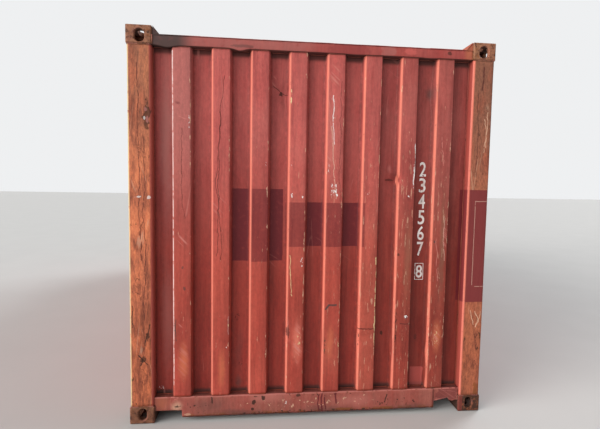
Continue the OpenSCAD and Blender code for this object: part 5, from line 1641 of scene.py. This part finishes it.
class CONTAINER_OT_stage(ContainerStep):
    """Sets the floor, the soft light and the camera"""
    bl_idname = "container.stage"
    bl_label = "Stage"

    def build(self, scene):
        look = scene.container_stage
        self.ground(scene, look)
        self.sky(scene, look)
        for lamp in (("Key light", (0.86, 0.42, -0.28), look.key, 40.0, (1.0, 0.965, 0.92)),
                     ("Side light", (0.74, 0.60, -0.30), look.side, 75.0, (0.97, 0.98, 1.0)),
                     ("Back light", (-0.70, -0.55, -0.60), look.fill, 25.0, (0.93, 0.96, 1.0))):
            self.lamp(scene, *lamp)
        self.camera(scene, look)
        scene.view_settings.view_transform = "Standard"

    def camera(self, scene, look):
        """The camera, turned by its heading, tilt and roll."""
        h, t, roll = look.heading, look.tilt, look.roll
        ahead = Vector((math.sin(h) * math.cos(t), math.cos(h) * math.cos(t), math.sin(t)))
        right = Vector((math.cos(h), -math.sin(h), 0.0))
        up = right.cross(ahead)
        right, up = (right * math.cos(roll) + up * math.sin(roll),
                     up * math.cos(roll) - right * math.sin(roll))
        lens = bpy.data.cameras.new("Camera")
        lens.lens = look.lens
        lens.sensor_width = 36.0
        lens.clip_end = 200.0
        camera = bpy.data.objects.new("Camera", lens)
        turn = Matrix((right, up, -ahead)).transposed().to_4x4()
        camera.matrix_world = Matrix.Translation(look.camera_at) @ turn
        scene.collection.objects.link(camera)
        scene.camera = camera

    def ground(self, scene, look):
        """A wide pale floor with a faint mottle."""
        mesh = bpy.data.meshes.new("Floor")
        far = 60.0
        mesh.from_pydata([(-far, -far, 0), (far, -far, 0), (far, far, 0), (-far, far, 0)], [],
                         [(0, 1, 2, 3)])
        floor = bpy.data.objects.new("Floor", mesh)
        scene.collection.objects.link(floor)
        paint = bpy.data.materials.new("Pale floor")
        paint.use_nodes = True
        place = put("ShaderNodeTexCoord", out="Object", tree=paint.node_tree)
        mottle = ramp(cloud(scaled(place, 1.5), 4), 0.3, 0.7, 0.0, 0.15)
        shader = paint.node_tree.nodes["Principled BSDF"]
        feed(shader.inputs["Base Color"],
             mixed(mottle, look.floor, [c * 0.85 for c in look.floor]))
        shader.inputs["Roughness"].default_value = 0.9
        mesh.materials.append(paint)

    def sky(self, scene, look):
        """Soft light from all round, a pale backdrop where a ray meets it."""
        scene.world = bpy.data.worlds.new("Soft sky")
        scene.world.use_nodes = True
        tree = scene.world.node_tree
        tree.nodes.clear()
        rays = put("ShaderNodeLightPath", out=None, tree=tree).outputs
        seen = most(*[Field(rays[name]) for name in (
            "Is Camera Ray", "Is Glossy Ray", "Is Transmission Ray")])
        light, pale = [put("ShaderNodeBackground", {"Color": tint, "Strength": strength},
                           tree=tree)
                       for tint, strength in (((0.95, 0.97, 1.0), look.sky),
                                              (look.backdrop, 1.0))]
        both = put("ShaderNodeMixShader", {0: seen, 1: light, 2: pale})
        put("ShaderNodeOutputWorld", {"Surface": both}, None)

    def lamp(self, scene, name, way, power, spread, tint):
        sun = bpy.data.lights.new(name, "SUN")
        sun.energy = power
        sun.angle = math.radians(spread)
        sun.color = tint
        made = bpy.data.objects.new(name, sun)
        made.matrix_world = Vector(way).to_track_quat("-Z", "Y").to_matrix().to_4x4()
        scene.collection.objects.link(made)


STEPS = (CONTAINER_OT_finishes, CONTAINER_OT_front_wall, CONTAINER_OT_front_posts,
         CONTAINER_OT_front_header, CONTAINER_OT_front_sill, CONTAINER_OT_welds,
         CONTAINER_OT_fasteners, CONTAINER_OT_numerals, CONTAINER_OT_stage)
SETTINGS = {"container_wall": WallSizes, "container_frame": FrameSizes,
            "container_welds": WeldSizes, "container_paint": PaintColours,
            "container_stage": StageSizes}


class CONTAINER_PT_panel(bpy.types.Panel):
    """Lists the steps that build the container's looks"""
    bl_label = "Container"
    bl_space_type = "VIEW_3D"
    bl_region_type = "UI"
    bl_category = "Container"

    def draw(self, context):
        for step in STEPS:
            self.layout.operator(step.bl_idname)
        for name, settings in SETTINGS.items():
            box = self.layout.box()
            for prop in settings.__annotations__:
                box.prop(getattr(context.scene, name), prop)


def register():
    for settings in SETTINGS.values():
        bpy.utils.register_class(settings)
    for step in STEPS:
        bpy.utils.register_class(step)
    bpy.utils.register_class(CONTAINER_PT_panel)
    for name, settings in SETTINGS.items():
        setattr(bpy.types.Scene, name, PointerProperty(type=settings))


def unregister():
    for name in SETTINGS:
        delattr(bpy.types.Scene, name)
    bpy.utils.unregister_class(CONTAINER_PT_panel)
    for step in reversed(STEPS):
        bpy.utils.unregister_class(step)
    for settings in SETTINGS.values():
        bpy.utils.unregister_class(settings)


def main():
    register()
    for step in STEPS:
        group, action = step.bl_idname.split(".")
        getattr(getattr(bpy.ops, group), action)()


if __name__ == "__main__":
    main()
